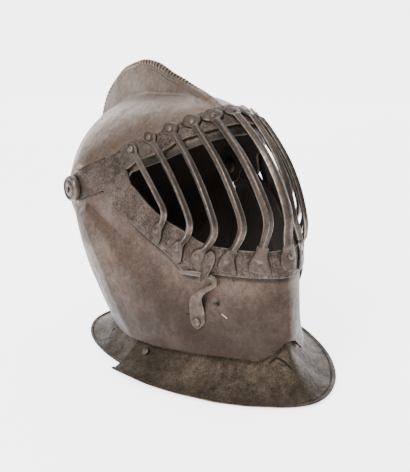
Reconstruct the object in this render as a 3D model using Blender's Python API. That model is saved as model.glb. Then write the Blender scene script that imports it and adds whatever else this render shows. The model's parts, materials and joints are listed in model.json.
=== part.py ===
"""Close helmet with a barred visor, as one assembly of separate steel pieces.

Metres, +Z up, the face looks along -Y and the wearer's right is -X. The helmet
stands on the rim of its gorget plates, over the middle of its footprint.
Every plate is a patch of one master form, drawn in polar angles about the
pivot axis of the visor, and lies in its own layer above or below that form.
"""
import math

import bmesh
import bpy
import mathutils
import numpy as np

# Place of the pivot axis, which runs along X
PIVOT_BACK = 0.058
PIVOT_HEIGHT = 0.160

# Driving sizes of the master form
HALF_WIDTH = 0.096
BOWL_HEIGHT = 0.080
BOWL_BACK = 0.110
FACE_REACH = 0.205
CHIN_REACH = 1.122 * FACE_REACH
NECK_DROP = 1.875 * PIVOT_HEIGHT

# Plates
WALL = 0.0020
LAYER_GAP = 0.0007
EDGE_GAP = 0.0016
BOSS_RADIUS = 0.0180
BOSS_FADE = 0.0100
BOSS_INSET = 0.0062

# Comb and keel
COMB_HEIGHT = 0.038
COMB_HALF_THICK = 0.0052
COMB_FOOT = 0.0240
KEEL_HEIGHT = 0.0045
KEEL_HALF_WIDTH = 0.0200

# Pivots
SHANK_RADIUS = 0.0040
SHANK_PLAY = 0.0006
DRILL_REACH = 0.0250
DISC_RADIUS = 0.0124
DISC_THICK = 0.0075
WASHER_RADIUS = 0.0075
WASHER_THICK = 0.0016
ARM_HALF_WIDTH = 0.0125
ARM_LENGTH = 0.0470
ARM_ANGLE = 25.0

# Bars
BARS_A_SIDE = 5
BAR_WIDTH = 0.0062
BAR_THICK = 0.0046
BAR_BULGE = 0.0092
LEFT_BAR_BULGE = 0.0038
KNEE_SWAY = 4.0
KNEE_RUN = 0.24
PADDLE_SLANT = 4.0
PADDLE_WIDTH = 0.0150
PADDLE_LENGTH = 0.0230
PADDLE_THICK = 0.0022
TOP_PADDLE_WIDTH = 0.0125
TOP_PADDLE_LENGTH = 0.0150
STUD_RADIUS = 0.0028
STUD_HEIGHT = 0.0016
SEAT_GAP = 0.0004

# Gorget plates
GORGET_RIVET_ROW = 2
COLLAR_ANGLE = 3.4
SEAM_GAP = 0.7
FRONT_COLLAR_INSET = 0.0032
REAR_COLLAR_INSET = 0.0022
TUCK = 0.0105
COLLAR_SHARE = 0.07
NECK_STEP = 0.0036
RIM_HALF_WIDTH = 0.108
RIM_FRONT = 0.185
RIM_SIDE_BACK = 0.024
RIM_POWER = 1.66
REAR_HALF_WIDTH = 0.091
REAR_DEPTH = 0.147
REAR_POWER = 2.3
CORNER_LIFT = 0.0040
GORGET_RIVET_RADIUS = 0.0042

# Catches
CATCH_ANGLE = -34.6
CATCH_LATITUDE = 54.5
CATCH_THICK = 0.0018
CATCH_RIVET_RADIUS = 0.0042
HOOK_SHANK = 0.0018
HOOK_LENGTH = 0.0460
HOOK_WIDTH = 0.0140
HOOK_LIFT = 0.0095
LIFT_FROM = 0.10
LIFT_RUN = 0.60
TAB_THICK = 0.0016
TAB_WIDTH = 0.0100
TAB_PLAY = 0.0016

# Heights of the layers above the form, and rings of the ears round a pivot
BEVOR_FLOOR = LAYER_GAP
BEVOR_TOP_HEIGHT = BEVOR_FLOOR + WALL
FRAME_FLOOR = BEVOR_TOP_HEIGHT + LAYER_GAP
ARM_TOP_HEIGHT = FRAME_FLOOR + WALL
REAR_LIFT = WALL + LAYER_GAP
EAR_RINGS = (SHANK_RADIUS + SHANK_PLAY, 0.62 * BOSS_RADIUS, 0.95 * BOSS_RADIUS)

# Master form: angle about the pivot from straight ahead, upwards positive,
# named size, share of it, roundness along the radius and roundness across
FORM = (
    (-60.0, NECK_DROP, 1.030, 1.60, 2.00),
    (-43.0, NECK_DROP, 1.00, 1.28, 1.94),
    (-34.0, CHIN_REACH, 1.09, 1.12, 1.86),
    (-28.0, CHIN_REACH, 1.00, 1.03, 1.88),
    (-16.0, FACE_REACH, 1.00, 1.00, 2.00),
    (-8.0, FACE_REACH, 0.956, 1.00, 2.00),
    (8.0, FACE_REACH, 0.854, 1.02, 2.00),
    (25.0, FACE_REACH, 0.732, 1.10, 2.00),
    (39.0, FACE_REACH, 0.639, 1.20, 2.00),
    (50.0, FACE_REACH, 0.556, 1.35, 2.00),
    (62.0, BOWL_HEIGHT, 1.225, 1.50, 2.00),
    (80.0, BOWL_HEIGHT, 1.05, 1.70, 1.90),
    (106.0, BOWL_HEIGHT, 1.00, 1.70, 1.80),
    (129.0, BOWL_BACK, 0.80, 1.50, 1.60),
    (144.0, BOWL_BACK, 0.873, 1.45, 1.50),
    (160.0, BOWL_BACK, 0.945, 1.40, 1.45),
    (180.0, BOWL_BACK, 1.00, 1.40, 1.40),
    (205.0, BOWL_BACK, 1.03, 1.50, 1.50),
    (235.0, BOWL_BACK, 1.00, 1.60, 1.60),
    (250.0, BOWL_BACK, 1.02, 1.70, 1.75),
    (270.0, NECK_DROP, 0.550, 1.60, 1.90),
    (285.0, NECK_DROP, 0.750, 1.55, 2.00),
    (300.0, NECK_DROP, 1.030, 1.60, 2.00),
)

# Comb ridge above the bowl: angle and share of the comb's height
COMB = (
    (34.0, 0.00),
    (42.0, 0.08),
    (50.0, 0.18),
    (62.0, 0.38),
    (80.0, 0.67),
    (93.0, 0.86),
    (106.0, 0.97),
    (118.0, 0.95),
    (129.0, 0.84),
    (144.0, 0.68),
    (159.0, 0.44),
    (172.0, 0.20),
    (184.0, 0.04),
    (192.0, 0.00),
)

# Outlines on the form: latitude from the pivot (90 is the middle of the
# face) and angle about the pivot
BROW_EDGE = ((0, -3), (25, -3), (29.5, 3), (34, 15), (38, 21.5), (55, 22), (63, 23.7), (73, 24.4), (90, 24.3))
BEVOR_TOP = ((0, 4), (30, 3), (35, -3), (42, -6), (50, -13), (60, -14.5), (74, -12.6), (90, -11.5))
FRAME_TOP = ((28, 29.4), (36, 34.5), (43, 38.4), (48, 36.6), (56, 35), (74, 35.3), (90, 36))
WINDOW_TOP = ((40.4, 22.2), (46, 25.1), (55, 25.3), (63, 27.2), (80, 27.2), (90, 27.2))
WINDOW_LOW = ((40.4, 11), (43.5, 1.8), (48.2, -5.3), (54.7, -8.4), (60.6, -10.5), (69, -9.8), (90, -8.6))
FRAME_LOW = ((28, 14.5), (31.5, 3.4), (35, -5.4), (41.2, -16.3), (50, -20.8), (54.1, -23.3),
             (61.2, -19.3), (72.5, -16.5), (90, -14.7))

# Neck line round the bottom of the helmet, from the middle of the nape to the
# foot of the keel: angle about the pivot and share of the pivot's height
NECK_LINE = (
    (251.0, 0.340),
    (258.0, 0.280),
    (265.0, 0.230),
    (276.0, 0.190),
    (290.0, 0.184),
    (300.5, 0.188),
    (308.0, 0.184),
    (317.0, 0.204),
    (323.0, 0.206),
    (326.0, 0.203),
    (328.7, 0.245),
    (332.0, 0.325),
)
NAPE_ANGLE = 251.0
CHEEK_SEAM = 275.3
KEEL_FOOT = 332.0

# Columns of the gorget plates along the neck line, and their rows from the
# neck to the rim
FRONT_COLUMNS = (-59.1, -56.0, -52.0, -47.0, -42.0, -38.0, -35.0, -33.0, -31.0, -29.4, -28.0)
REAR_COLUMNS = (299.6, 294.0, 287.0, 280.0, 274.0, 268.0, 262.0, 256.0, 251.0)
FLARE_ROWS = (0.10, 0.24, 0.42, 0.62, 0.82, 1.0)

# Rows of the skull and the bevor, from the ears to the middle, and columns of
# the frame by latitude; the window starts at its fifth column
SKULL_ROWS = (0.12, 0.26, 0.41, 0.56, 0.69, 0.79, 0.87, 0.92, 0.952, 0.976, 1.0)
BEVOR_ROWS = (0.11, 0.23, 0.36, 0.49, 0.61, 0.72, 0.82, 0.91, 1.0)
FRAME_COLUMNS = (28, 31.5, 35, 38, 40.4, 41.2, 43.5, 46, 48.2, 51, 54.1, 57.5, 61.2, 66, 71, 76, 81, 86, 90)
WINDOW_FROM = 4
WINDOW_LATITUDE = 40.4

# Arm: directions of its round end's corners, and places ahead of the pivot as
# shares of its length
ARM_BACK = (164.0, 143.0, 120.0, 90.0)
ARM_AHEAD = (0.3, 0.5, 0.68, 0.85, 1.0)
ARM_SPREAD = 0.12

# Feet of the bars on one side, from the rear bar to the middle one:
# upper latitude and angle, lower latitude and angle, width of the lower and
# of the upper paddle as shares
BAR_FEET = (
    (46.0, 33.0, 46.8, -11.8, 0.80, 0.90),
    (54.0, 34.0, 52.6, -15.6, 0.90, 1.05),
    (62.2, 33.2, 58.6, -15.2, 0.95, 1.15),
    (70.8, 32.4, 67.6, -13.0, 1.20, 1.25),
    (79.6, 31.6, 78.6, -11.2, 1.25, 1.35),
    (90.0, 32.0, 90.0, -10.2, 0.90, 1.15),
)

# Shape of a bar: place along the paddle from its rivet, share of the full
# width, share of the rivet head's height
PADDLE_SHAPE = ((-0.40, 0.25, 0.0), (-0.28, 0.72, 0.0), (-0.12, 0.97, 0.1), (0.0, 1.0, 1.0),
                (0.12, 0.97, 0.1), (0.28, 0.80, 0.2), (0.44, 0.50, 0.5))
TOP_SHAPE = ((-0.45, 0.72, 0.3), (-0.20, 0.96, 0.1), (0.0, 1.0, 1.0), (0.20, 0.95, 0.1), (0.45, 0.35, 0.0))
SHAFT_STEPS = 9
BULGE_RUN = (0.0, 0.10, 0.17, 0.25, 0.40, 0.60, 0.80, 0.92, 1.0)
BULGE_SHARE = (0.0, 0.30, 0.85, 1.00, 0.85, 0.52, 0.22, 0.06, 0.0)

# Catch hook from its rivet: shares of its length to the right and up, and of
# its width, then the tab that hangs in front of its finger
HOOK_PATH = ((0.045, -0.135, 0.60), (0.03, -0.07, 0.92), (0.02, 0.04, 1.0), (0.0, 0.17, 1.0),
             (-0.01, 0.33, 0.95), (0.02, 0.46, 0.80), (0.10, 0.58, 0.48), (0.21, 0.67, 0.34),
             (0.32, 0.735, 0.30), (0.39, 0.80, 0.29), (0.39, 0.87, 0.29), (0.33, 0.925, 0.30),
             (0.21, 0.95, 0.32), (0.06, 0.96, 0.32), (-0.10, 0.96, 0.30), (-0.27, 0.955, 0.22),
             (-0.39, 0.985, 0.10))
TAB_PATH = ((0.31, 1.44, 0.45), (0.30, 1.38, 0.85), (0.27, 1.25, 1.0), (0.23, 1.11, 0.92),
            (0.19, 0.98, 0.75), (0.15, 0.86, 0.50), (0.13, 0.80, 0.22))

# Pieces that turn with the visor or the bevor
MOVING_STEMS = ("bevor", "front_gorget", "gorget_rivet", "catch_rivet", "visor_", "bar_")

# Colours, roughness
STEEL_COLOURS = {
    "skull": (0.235, 0.205, 0.180, 0.42),
    "bevor": (0.205, 0.178, 0.155, 0.45),
    "gorget": (0.175, 0.148, 0.126, 0.55),
    "visor": (0.190, 0.168, 0.150, 0.52),
    "bars": (0.225, 0.205, 0.190, 0.38),
    "rivets": (0.200, 0.175, 0.150, 0.45),
    "catch": (0.180, 0.160, 0.145, 0.48),
}


def clear_scene():
    for item in list(bpy.data.objects):
        bpy.data.objects.remove(item, do_unlink=True)


def steel(name):
    """One aged steel finish for each family of pieces."""
    material = bpy.data.materials.get("steel_" + name)
    if material:
        return material
    red, green, blue, rough = STEEL_COLOURS[name]
    material = bpy.data.materials.new("steel_" + name)
    material.use_nodes = True
    shader = material.node_tree.nodes["Principled BSDF"]
    shader.inputs["Base Color"].default_value = (red, green, blue, 1.0)
    shader.inputs["Metallic"].default_value = 0.9
    shader.inputs["Roughness"].default_value = rough
    return material


def smooth_table(rows, column, at):
    """Monotone cubic through column of the rows, at the places asked for."""
    places = np.array([row[0] for row in rows], float)
    values = np.array([row[column] for row in rows], float)
    steps = np.diff(places)
    slopes = np.diff(values) / steps
    tangents = np.zeros_like(values)
    tangents[0] = slopes[0]
    tangents[-1] = slopes[-1]
    for k in range(1, len(values) - 1):
        if slopes[k - 1] * slopes[k] > 0:
            before = 2 * steps[k] + steps[k - 1]
            after = steps[k] + 2 * steps[k - 1]
            tangents[k] = (before + after) / (before / slopes[k - 1] + after / slopes[k])
    at = np.asarray(at, float)
    at = np.clip(at, places[0], places[-1])
    k = np.clip(np.searchsorted(places, at) - 1, 0, len(steps) - 1)
    t = (at - places[k]) / steps[k]
    return ((1 + 2 * t) * (1 - t) ** 2 * values[k] + t * (1 - t) ** 2 * steps[k] * tangents[k]
            + t * t * (3 - 2 * t) * values[k + 1] + t * t * (t - 1) * steps[k] * tangents[k + 1])


def edge_table(rows, at):
    """Outline through its corners, with straight runs between them."""
    return np.interp(at, [row[0] for row in rows], [row[1] for row in rows])


def ease(value):
    value = np.clip(value, 0.0, 1.0)
    return value * value * (3 - 2 * value)


FORM_RADII = tuple((row[0], row[1] * row[2]) for row in FORM)


def form_row(angle):
    """Radius and both roundness values of the form at an angle."""
    turned = np.where(np.asarray(angle, float) < -60.0, np.asarray(angle, float) + 360.0, angle)
    radius = smooth_table(FORM_RADII, 1, turned)
    round_out = smooth_table(FORM, 3, turned)
    round_across = smooth_table(FORM, 4, turned)
    return radius, round_out, round_across


def keel_rise(angle):
    """The keel stands along the chin and fades out above the window."""
    return KEEL_HEIGHT * ease((20.0 - np.abs(np.asarray(angle, float) + 22.0)) / 12.0)


def form_point(angle, latitude, comb=False):
    """Point of the form. Latitude runs from 0 at the right pivot, over 90 in
    the middle, to 180 at the left pivot."""
    angle, latitude = np.broadcast_arrays(np.asarray(angle, float), np.asarray(latitude, float))
    radius, round_out, round_across = form_row(angle)
    cosine = np.cos(np.radians(latitude))
    sine = np.clip(np.sin(np.radians(latitude)), 0.0, 1.0)
    across = HALF_WIDTH * np.sign(cosine) * np.abs(cosine) ** (2.0 / round_across)
    out = radius * sine ** (2.0 / round_out)
    keel = np.clip(1.0 - np.abs(across) / KEEL_HALF_WIDTH, 0.0, 1.0)
    out = out + keel_rise(angle) * keel ** 1.5
    if comb:
        ridge = COMB_HEIGHT * smooth_table(COMB, 1, angle)
        away = np.abs(across)
        fin = 1.0 - ease((away - 0.5 * COMB_HALF_THICK) / (0.9 * COMB_HALF_THICK))
        foot = np.clip(1.0 - away / COMB_FOOT, 0.0, 1.0) ** 2.2
        out = out + ridge * np.maximum(fin * 0.80 + foot * 0.20, 0.0)
    flat = HALF_WIDTH - BOSS_INSET
    blend = ease((out - BOSS_RADIUS) / BOSS_FADE)
    side = np.where(across >= 0, 1.0, -1.0)
    across = side * (flat + (np.abs(across) - flat) * blend)
    turn = np.radians(angle)
    return np.stack([-across, PIVOT_BACK - out * np.cos(turn), PIVOT_HEIGHT + out * np.sin(turn)], -1)


def form_normal(angle, latitude, comb=False):
    """Outward unit normal of the form by central differences."""
    step = 0.4
    along = form_point(angle + step, latitude, comb) - form_point(angle - step, latitude, comb)
    over = form_point(angle, latitude + step, comb) - form_point(angle, latitude - step, comb)
    normal = np.cross(over, along)
    length = np.linalg.norm(normal, axis=-1, keepdims=True)
    return normal / np.maximum(length, 1e-12)


def layer_point(angle, latitude, height, comb=False):
    """Point at a height above the form, measured along its normal."""
    angle, latitude = np.broadcast_arrays(np.asarray(angle, float), np.asarray(latitude, float))
    height = np.asarray(height, float)
    normal = form_normal(angle, latitude, comb)
    return form_point(angle, latitude, comb) + normal * height[..., None]


def latitude_at(radius_wanted, angle):
    """Latitude at which the form has this distance from the pivot axis."""
    radius, round_out, _ = form_row(angle)
    share = np.clip(radius_wanted / radius, 0.0, 1.0)
    return np.degrees(np.arcsin(share ** (round_out / 2.0)))


def new_object(name, points, faces, finish, smooth_angle=40.0):
    """Object from points and faces, with doubles joined and faces checked."""
    mesh = bpy.data.meshes.new(name)
    mesh.from_pydata([tuple(p) for p in points], [], faces)
    body = bmesh.new()
    body.from_mesh(mesh)
    bmesh.ops.remove_doubles(body, verts=body.verts, dist=1e-7)
    bmesh.ops.recalc_face_normals(body, faces=body.faces)
    if body.calc_volume(signed=True) < 0:
        bmesh.ops.reverse_faces(body, faces=body.faces)
    body.to_mesh(mesh)
    body.free()
    mesh.materials.append(steel(finish))
    mesh.shade_smooth()
    mesh.set_sharp_from_angle(angle=math.radians(smooth_angle))
    item = bpy.data.objects.new(name, mesh)
    bpy.context.scene.collection.objects.link(item)
    return item


def shell(name, outer, inner, keep, finish, round_columns=False):
    """Closed plate between two grids of points. keep marks the cells that are
    metal; every edge between a kept cell and open air gets a wall. With round
    columns, the last column is the first one again."""
    rows, columns = outer.shape[:2]
    count = rows * columns
    points = np.concatenate([outer.reshape(-1, 3), inner.reshape(-1, 3)])

    def number(row, column):
        first_again = round_columns and column == columns - 1
        return row * columns + (0 if first_again else column)

    faces = []
    borders = {}
    for row in range(rows - 1):
        for column in range(columns - 1):
            if not keep[row, column]:
                continue
            ring = (number(row, column), number(row, column + 1),
                    number(row + 1, column + 1), number(row + 1, column))
            faces.append(ring)
            faces.append(tuple(count + k for k in reversed(ring)))
            for k in range(4):
                start = ring[k]
                end = ring[(k + 1) % 4]
                if (end, start) in borders:
                    del borders[(end, start)]
                else:
                    borders[(start, end)] = True
    for start, end in borders:
        faces.append((end, start, count + start, count + end))
    used = sorted({k for face in faces for k in face})
    place = {k: n for n, k in enumerate(used)}
    faces = [tuple(place[k] for k in face) for face in faces]
    return new_object(name, points[used], faces, finish)


def turned(name, profile, origin, axis, finish, sides=24):
    """Turned piece: profile rows are (distance along the axis, radius)."""
    origin = np.array(origin, float)
    axis = np.array(axis, float)
    first = np.cross(axis, (0.0, 0.0, 1.0))
    first /= np.linalg.norm(first)
    second = np.cross(axis, first)
    points = []
    for out, radius in profile:
        for k in range(sides):
            turn = 2 * math.pi * k / sides
            ring = first * math.cos(turn) + second * math.sin(turn)
            points.append(origin + axis * out + ring * radius)
    faces = []
    for ring in range(len(profile) - 1):
        for k in range(sides):
            after = (k + 1) % sides
            faces.append((ring * sides + k, ring * sides + after,
                          (ring + 1) * sides + after, (ring + 1) * sides + k))
    faces.append(tuple(range(sides)))
    last = (len(profile) - 1) * sides
    faces.append(tuple(last + k for k in reversed(range(sides))))
    return new_object(name, np.array(points), faces, finish)


def neck_radius(angle):
    """Distance of the neck line from the pivot axis."""
    turned_angle = np.where(np.asarray(angle, float) < 0, np.asarray(angle, float) + 360.0, angle)
    height = PIVOT_HEIGHT * (1.0 - smooth_table(NECK_LINE, 1, turned_angle))
    return height / np.abs(np.sin(np.radians(turned_angle)))


def last_latitude(angle):
    """A column of a plate runs to the middle of the helmet or to the neck line."""
    turned_angle = np.where(np.asarray(angle, float) < 0, np.asarray(angle, float) + 360.0, angle)
    open_side = (turned_angle > NAPE_ANGLE + 1e-6) & (turned_angle < KEEL_FOOT - 1e-6)
    return np.where(open_side, latitude_at(neck_radius(angle), angle), 90.0)


def edge_at(edge, latitude):
    return edge_table(edge, latitude) if isinstance(edge, tuple) else edge


def column_angles(first, hinge, last, counts, latitudes):
    """Columns from one edge of a plate over its hinge angle to the other edge,
    then round the rest of the circle, which only the ear rows keep."""
    start = edge_at(first, latitudes[0])
    end = edge_at(last, latitudes[counts[0] + counts[1]])
    before = np.linspace(start, hinge, counts[0] + 1)
    after = np.linspace(hinge, end, counts[1] + 1)[1:]
    rest = np.linspace(end, start + 360.0, counts[2] + 1)[1:]
    return np.concatenate([before, after, rest])


def pivoted_plate(name, edges, counts, shares, bottom, top, finish, comb=False):
    """Plate that spans from pivot to pivot over the middle, with round ears.

    Rows near each pivot are circles, so that the ears turn freely. The other
    rows share out the way to the middle of the helmet or to the neck line."""
    first, hinge, last = edges
    outer_rows = []
    inner_rows = []
    ears = len(EAR_RINGS)
    for row in range(ears + len(shares)):
        latitudes = np.full(sum(counts) + 1, 5.0)
        for _ in range(30):
            angles = column_angles(first, hinge, last, counts, latitudes)
            if row < ears:
                latitudes = latitude_at(EAR_RINGS[row], angles)
                continue
            start = latitude_at(EAR_RINGS[-1], angles)
            wanted = start + (last_latitude(angles) - start) * shares[row - ears]
            latitudes = 0.5 * (latitudes + wanted)
        outer_rows.append(layer_point(angles, latitudes, np.full(len(angles), top), comb))
        inner_rows.append(layer_point(angles, latitudes, np.full(len(angles), bottom), comb))
    flip = np.array([-1.0, 1.0, 1.0])
    outer = np.array(outer_rows + [row * flip for row in reversed(outer_rows)])
    inner = np.array(inner_rows + [row * flip for row in reversed(inner_rows)])
    rows, columns = outer.shape[:2]
    plate = counts[0] + counts[1]
    keep = np.zeros((rows - 1, columns - 1), bool)
    keep[:, :plate] = True
    keep[:ears - 1, :] = True
    keep[rows - ears:, :] = True
    middle = rows // 2 - 1
    if hinge == NAPE_ANGLE:
        keep[middle, counts[0]:] = False
    else:
        keep[middle, :counts[0]] = False
    return shell(name, outer, inner, keep, finish, round_columns=True)


def make_skull():
    edges = (BROW_EDGE, NAPE_ANGLE, CHEEK_SEAM)
    return pivoted_plate("skull", edges, (22, 4, 6), SKULL_ROWS, -WALL, 0.0, "skull", comb=True)


def make_bevor():
    edges = (CHEEK_SEAM + SEAM_GAP - 360.0, KEEL_FOOT - 360.0, BEVOR_TOP)
    return pivoted_plate("bevor", edges, (9, 4, 12), BEVOR_ROWS, BEVOR_FLOOR, BEVOR_TOP_HEIGHT, "bevor")


def frame_floor(latitude):
    """The frame lies on the bevor in front and climbs onto the arms behind."""
    nearest = np.minimum(latitude, 180.0 - np.asarray(latitude, float))
    return FRAME_FLOOR + REAR_LIFT * (1.0 - ease((nearest - 35.0) / 7.0))


def make_visor_frame():
    latitudes = np.array(FRAME_COLUMNS + tuple(180.0 - v for v in reversed(FRAME_COLUMNS[:-1])))
    near = np.minimum(latitudes, 180.0 - latitudes)
    low = edge_table(FRAME_LOW, near)
    high = edge_table(FRAME_TOP, near)
    sill = edge_table(WINDOW_LOW, near)
    lintel = edge_table(WINDOW_TOP, near)
    behind = near < WINDOW_LATITUDE
    sill = np.where(behind, low + (high - low) * 0.36, sill)
    lintel = np.where(behind, low + (high - low) * 0.56, lintel)
    angles = np.stack([low, low + (sill - low) * 0.5, sill, sill + (lintel - sill) * 0.5, lintel,
                       lintel + (high - lintel) * 0.5, high], 1)
    grid = np.broadcast_to(latitudes[:, None], angles.shape)
    floor = frame_floor(grid)
    outer = layer_point(angles, grid, floor + WALL)
    inner = layer_point(angles, grid, floor)
    keep = np.ones((len(latitudes) - 1, 6), bool)
    keep[WINDOW_FROM:len(latitudes) - 1 - WINDOW_FROM, 2:4] = False
    return shell("visor_frame", outer, inner, keep, "visor")


def make_visor_arm(side):
    """Arm from the pivot to under the rear of the frame."""
    back = [math.radians(way) for way in ARM_BACK]
    stations = [(ARM_HALF_WIDTH * math.cos(way), ARM_HALF_WIDTH * math.sin(way)) for way in back]
    stations += [(ARM_LENGTH * t, ARM_HALF_WIDTH * (1 + ARM_SPREAD * t)) for t in ARM_AHEAD]
    across = np.linspace(-1, 1, 7)
    turn = math.radians(ARM_ANGLE)
    forward = np.array([[a] * 7 for a, _ in stations])
    sideways = np.array([[w * t for t in across] for _, w in stations])
    ahead = forward * math.cos(turn) - sideways * math.sin(turn)
    upward = forward * math.sin(turn) + sideways * math.cos(turn)
    distance = np.maximum(np.hypot(ahead, upward), 1e-5)
    angle = np.degrees(np.arctan2(upward, ahead))
    latitude = latitude_at(distance, angle)
    outer = layer_point(angle, latitude, np.full(angle.shape, ARM_TOP_HEIGHT))
    inner = layer_point(angle, latitude, np.full(angle.shape, FRAME_FLOOR))
    if side > 0:
        outer = outer * np.array([-1.0, 1.0, 1.0])
        inner = inner * np.array([-1.0, 1.0, 1.0])
    keep = np.ones((len(stations) - 1, 6), bool)
    name = "visor_arm_right" if side < 0 else "visor_arm_left"
    arm = shell(name, outer, inner, keep, "visor")
    drill_pivot(arm, side)
    return arm


def drill_pivot(item, side):
    """Hole for the pivot's shank."""
    start = HALF_WIDTH - BOSS_INSET - DRILL_REACH
    end = HALF_WIDTH - BOSS_INSET + DRILL_REACH
    radius = SHANK_RADIUS + SHANK_PLAY
    cutter = turned(item.name + "_drill", ((start, radius), (end, radius)),
                    (0.0, PIVOT_BACK, PIVOT_HEIGHT), (side, 0.0, 0.0), "rivets", sides=20)
    cutter.hide_render = True
    cutter.display_type = "WIRE"
    cut = item.modifiers.new("pivot_hole", "BOOLEAN")
    cut.operation = "DIFFERENCE"
    cut.object = cutter


def make_pivot_rivet(side):
    flat = HALF_WIDTH - BOSS_INSET
    inside = flat - WALL - SEAT_GAP
    seat = flat + ARM_TOP_HEIGHT + SEAT_GAP
    profile = ((inside - WASHER_THICK, WASHER_RADIUS * 0.8),
               (inside - 0.3 * WASHER_THICK, WASHER_RADIUS),
               (inside, WASHER_RADIUS),
               (inside, SHANK_RADIUS),
               (seat, SHANK_RADIUS),
               (seat, DISC_RADIUS),
               (seat + 0.55 * DISC_THICK, DISC_RADIUS),
               (seat + 0.85 * DISC_THICK, 0.86 * DISC_RADIUS),
               (seat + DISC_THICK, 0.62 * DISC_RADIUS))
    name = "pivot_rivet_right" if side < 0 else "pivot_rivet_left"
    return turned(name, profile, (0.0, PIVOT_BACK, PIVOT_HEIGHT), (side, 0.0, 0.0), "rivets")


def turn_between(length, angle, latitude):
    """Angle about the pivot that covers a length along the form."""
    radius, round_out, _ = form_row(angle)
    distance = radius * math.sin(math.radians(latitude)) ** (2.0 / round_out)
    return math.degrees(length / float(distance))


def bar_stations(feet, bulge):
    """Rows of angle, latitude, half width, rise of the underside and thickness,
    from the lower tip of the paddle up to the top end."""
    top_latitude, top_angle, low_latitude, low_angle, low_share, top_share = feet
    middle = top_latitude == 90.0
    slant = 0.0 if middle else PADDLE_SLANT
    knee = top_latitude + (0.0 if middle else KNEE_SWAY)
    stations = []
    for along, width, stud in PADDLE_SHAPE:
        angle = low_angle + turn_between(along * PADDLE_LENGTH, low_angle, low_latitude)
        foot = low_latitude + slant * along
        half = 0.5 * width * low_share * PADDLE_WIDTH
        stations.append((angle, foot, half, 0.0, PADDLE_THICK + stud * STUD_HEIGHT))
    first = stations[-1][0] + turn_between(0.16 * PADDLE_LENGTH, low_angle, low_latitude)
    last = top_angle - turn_between(0.75 * TOP_PADDLE_LENGTH, top_angle, top_latitude)
    for share in np.linspace(0.0, 1.0, SHAFT_STEPS):
        angle = first + (last - first) * share
        run = (angle - low_angle) / (top_angle - low_angle)
        if run < KNEE_RUN:
            latitude = foot + (knee - foot) * float(ease(run / KNEE_RUN))
        else:
            latitude = knee + (top_latitude - knee) * (run - KNEE_RUN) / (1.0 - KNEE_RUN)
        rise = bulge * float(np.interp(run, BULGE_RUN, BULGE_SHARE))
        stations.append((angle, latitude, 0.5 * BAR_WIDTH, rise, BAR_THICK))
    for along, width, stud in TOP_SHAPE:
        angle = top_angle + turn_between(along * TOP_PADDLE_LENGTH, top_angle, top_latitude)
        half = 0.5 * width * top_share * TOP_PADDLE_WIDTH
        stations.append((angle, top_latitude, half, 0.0, PADDLE_THICK + stud * STUD_HEIGHT))
    return stations


def make_bar(name, feet, side):
    """Forged bar: flat paddles follow the frame, the shaft has a ridge."""
    bulge = LEFT_BAR_BULGE if side > 0 else BAR_BULGE
    rows = []
    for angle, latitude, half, rise, thick in bar_stations(feet, bulge):
        spread = form_point(angle, latitude + 0.5) - form_point(angle, latitude - 0.5)
        degree = 1.0 / np.linalg.norm(spread)
        floor = float(frame_floor(latitude)) + WALL + SEAT_GAP + rise
        section = ((-1.0, 0.0), (-0.82, 0.62), (0.0, 1.0), (0.82, 0.62), (1.0, 0.0), (0.0, 0.0))
        places = np.array([latitude + half * degree * across for across, _ in section])
        heights = np.array([floor + thick * up for _, up in section])
        rows.append(layer_point(np.full(6, angle), places, heights))
    grid = np.array(rows)
    if side > 0:
        grid = grid * np.array([-1.0, 1.0, 1.0])
    count = len(rows)
    faces = []
    for row in range(count - 1):
        for k in range(6):
            after = (k + 1) % 6
            faces.append((row * 6 + k, row * 6 + after, (row + 1) * 6 + after, (row + 1) * 6 + k))
    faces.append(tuple(range(6)))
    faces.append(tuple((count - 1) * 6 + k for k in reversed(range(6))))
    return new_object(name, grid.reshape(-1, 3), faces, "bars")


def make_bars():
    """Bars are numbered from the rear right one, over the middle, to the rear left one."""
    last = 2 * BARS_A_SIDE + 1
    for k in range(BARS_A_SIDE + 1):
        make_bar("bar_%d" % (k + 1), BAR_FEET[k], -1)
        if k < BARS_A_SIDE:
            make_bar("bar_%d" % (last - k), BAR_FEET[k], 1)


def local_axes(angle, latitude, side):
    """Right, up and outward directions on the form, seen from outside."""
    origin = form_point(angle, latitude)
    out = form_normal(np.array(angle), np.array(latitude))
    up = np.array([0.0, 0.0, 1.0]) - out * out[2]
    up /= np.linalg.norm(up)
    right = np.cross(up, out)
    if side > 0:
        flip = np.array([-1.0, 1.0, 1.0])
        origin, out, up, right = origin * flip, out * flip, up * flip, right * flip
    return origin, right, up, out


def ribbon(name, path, thick, axes, finish):
    """Flat strip along a path of (right, up, height of the underside, width)."""
    origin, right, up, out = axes
    path = np.array(path, float)
    heading = np.gradient(path[:, :2], axis=0)
    heading /= np.linalg.norm(heading, axis=1, keepdims=True)
    points = []
    for (x, y, height, width), (run_x, run_y) in zip(path, heading):
        for side, level in ((-0.5, 0.0), (0.5, 0.0), (0.5, thick), (-0.5, thick)):
            a = x - run_y * width * side
            b = y + run_x * width * side
            points.append(origin + right * a + up * b + out * (height + level))
    faces = []
    count = len(path)
    for row in range(count - 1):
        for k in range(4):
            after = (k + 1) % 4
            faces.append((row * 4 + k, row * 4 + after, (row + 1) * 4 + after, (row + 1) * 4 + k))
    faces.append((0, 1, 2, 3))
    faces.append(tuple((count - 1) * 4 + k for k in (3, 2, 1, 0)))
    return new_object(name, np.array(points), faces, finish)


def side_name(stem, side):
    return stem + ("_right" if side < 0 else "_left")


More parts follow.
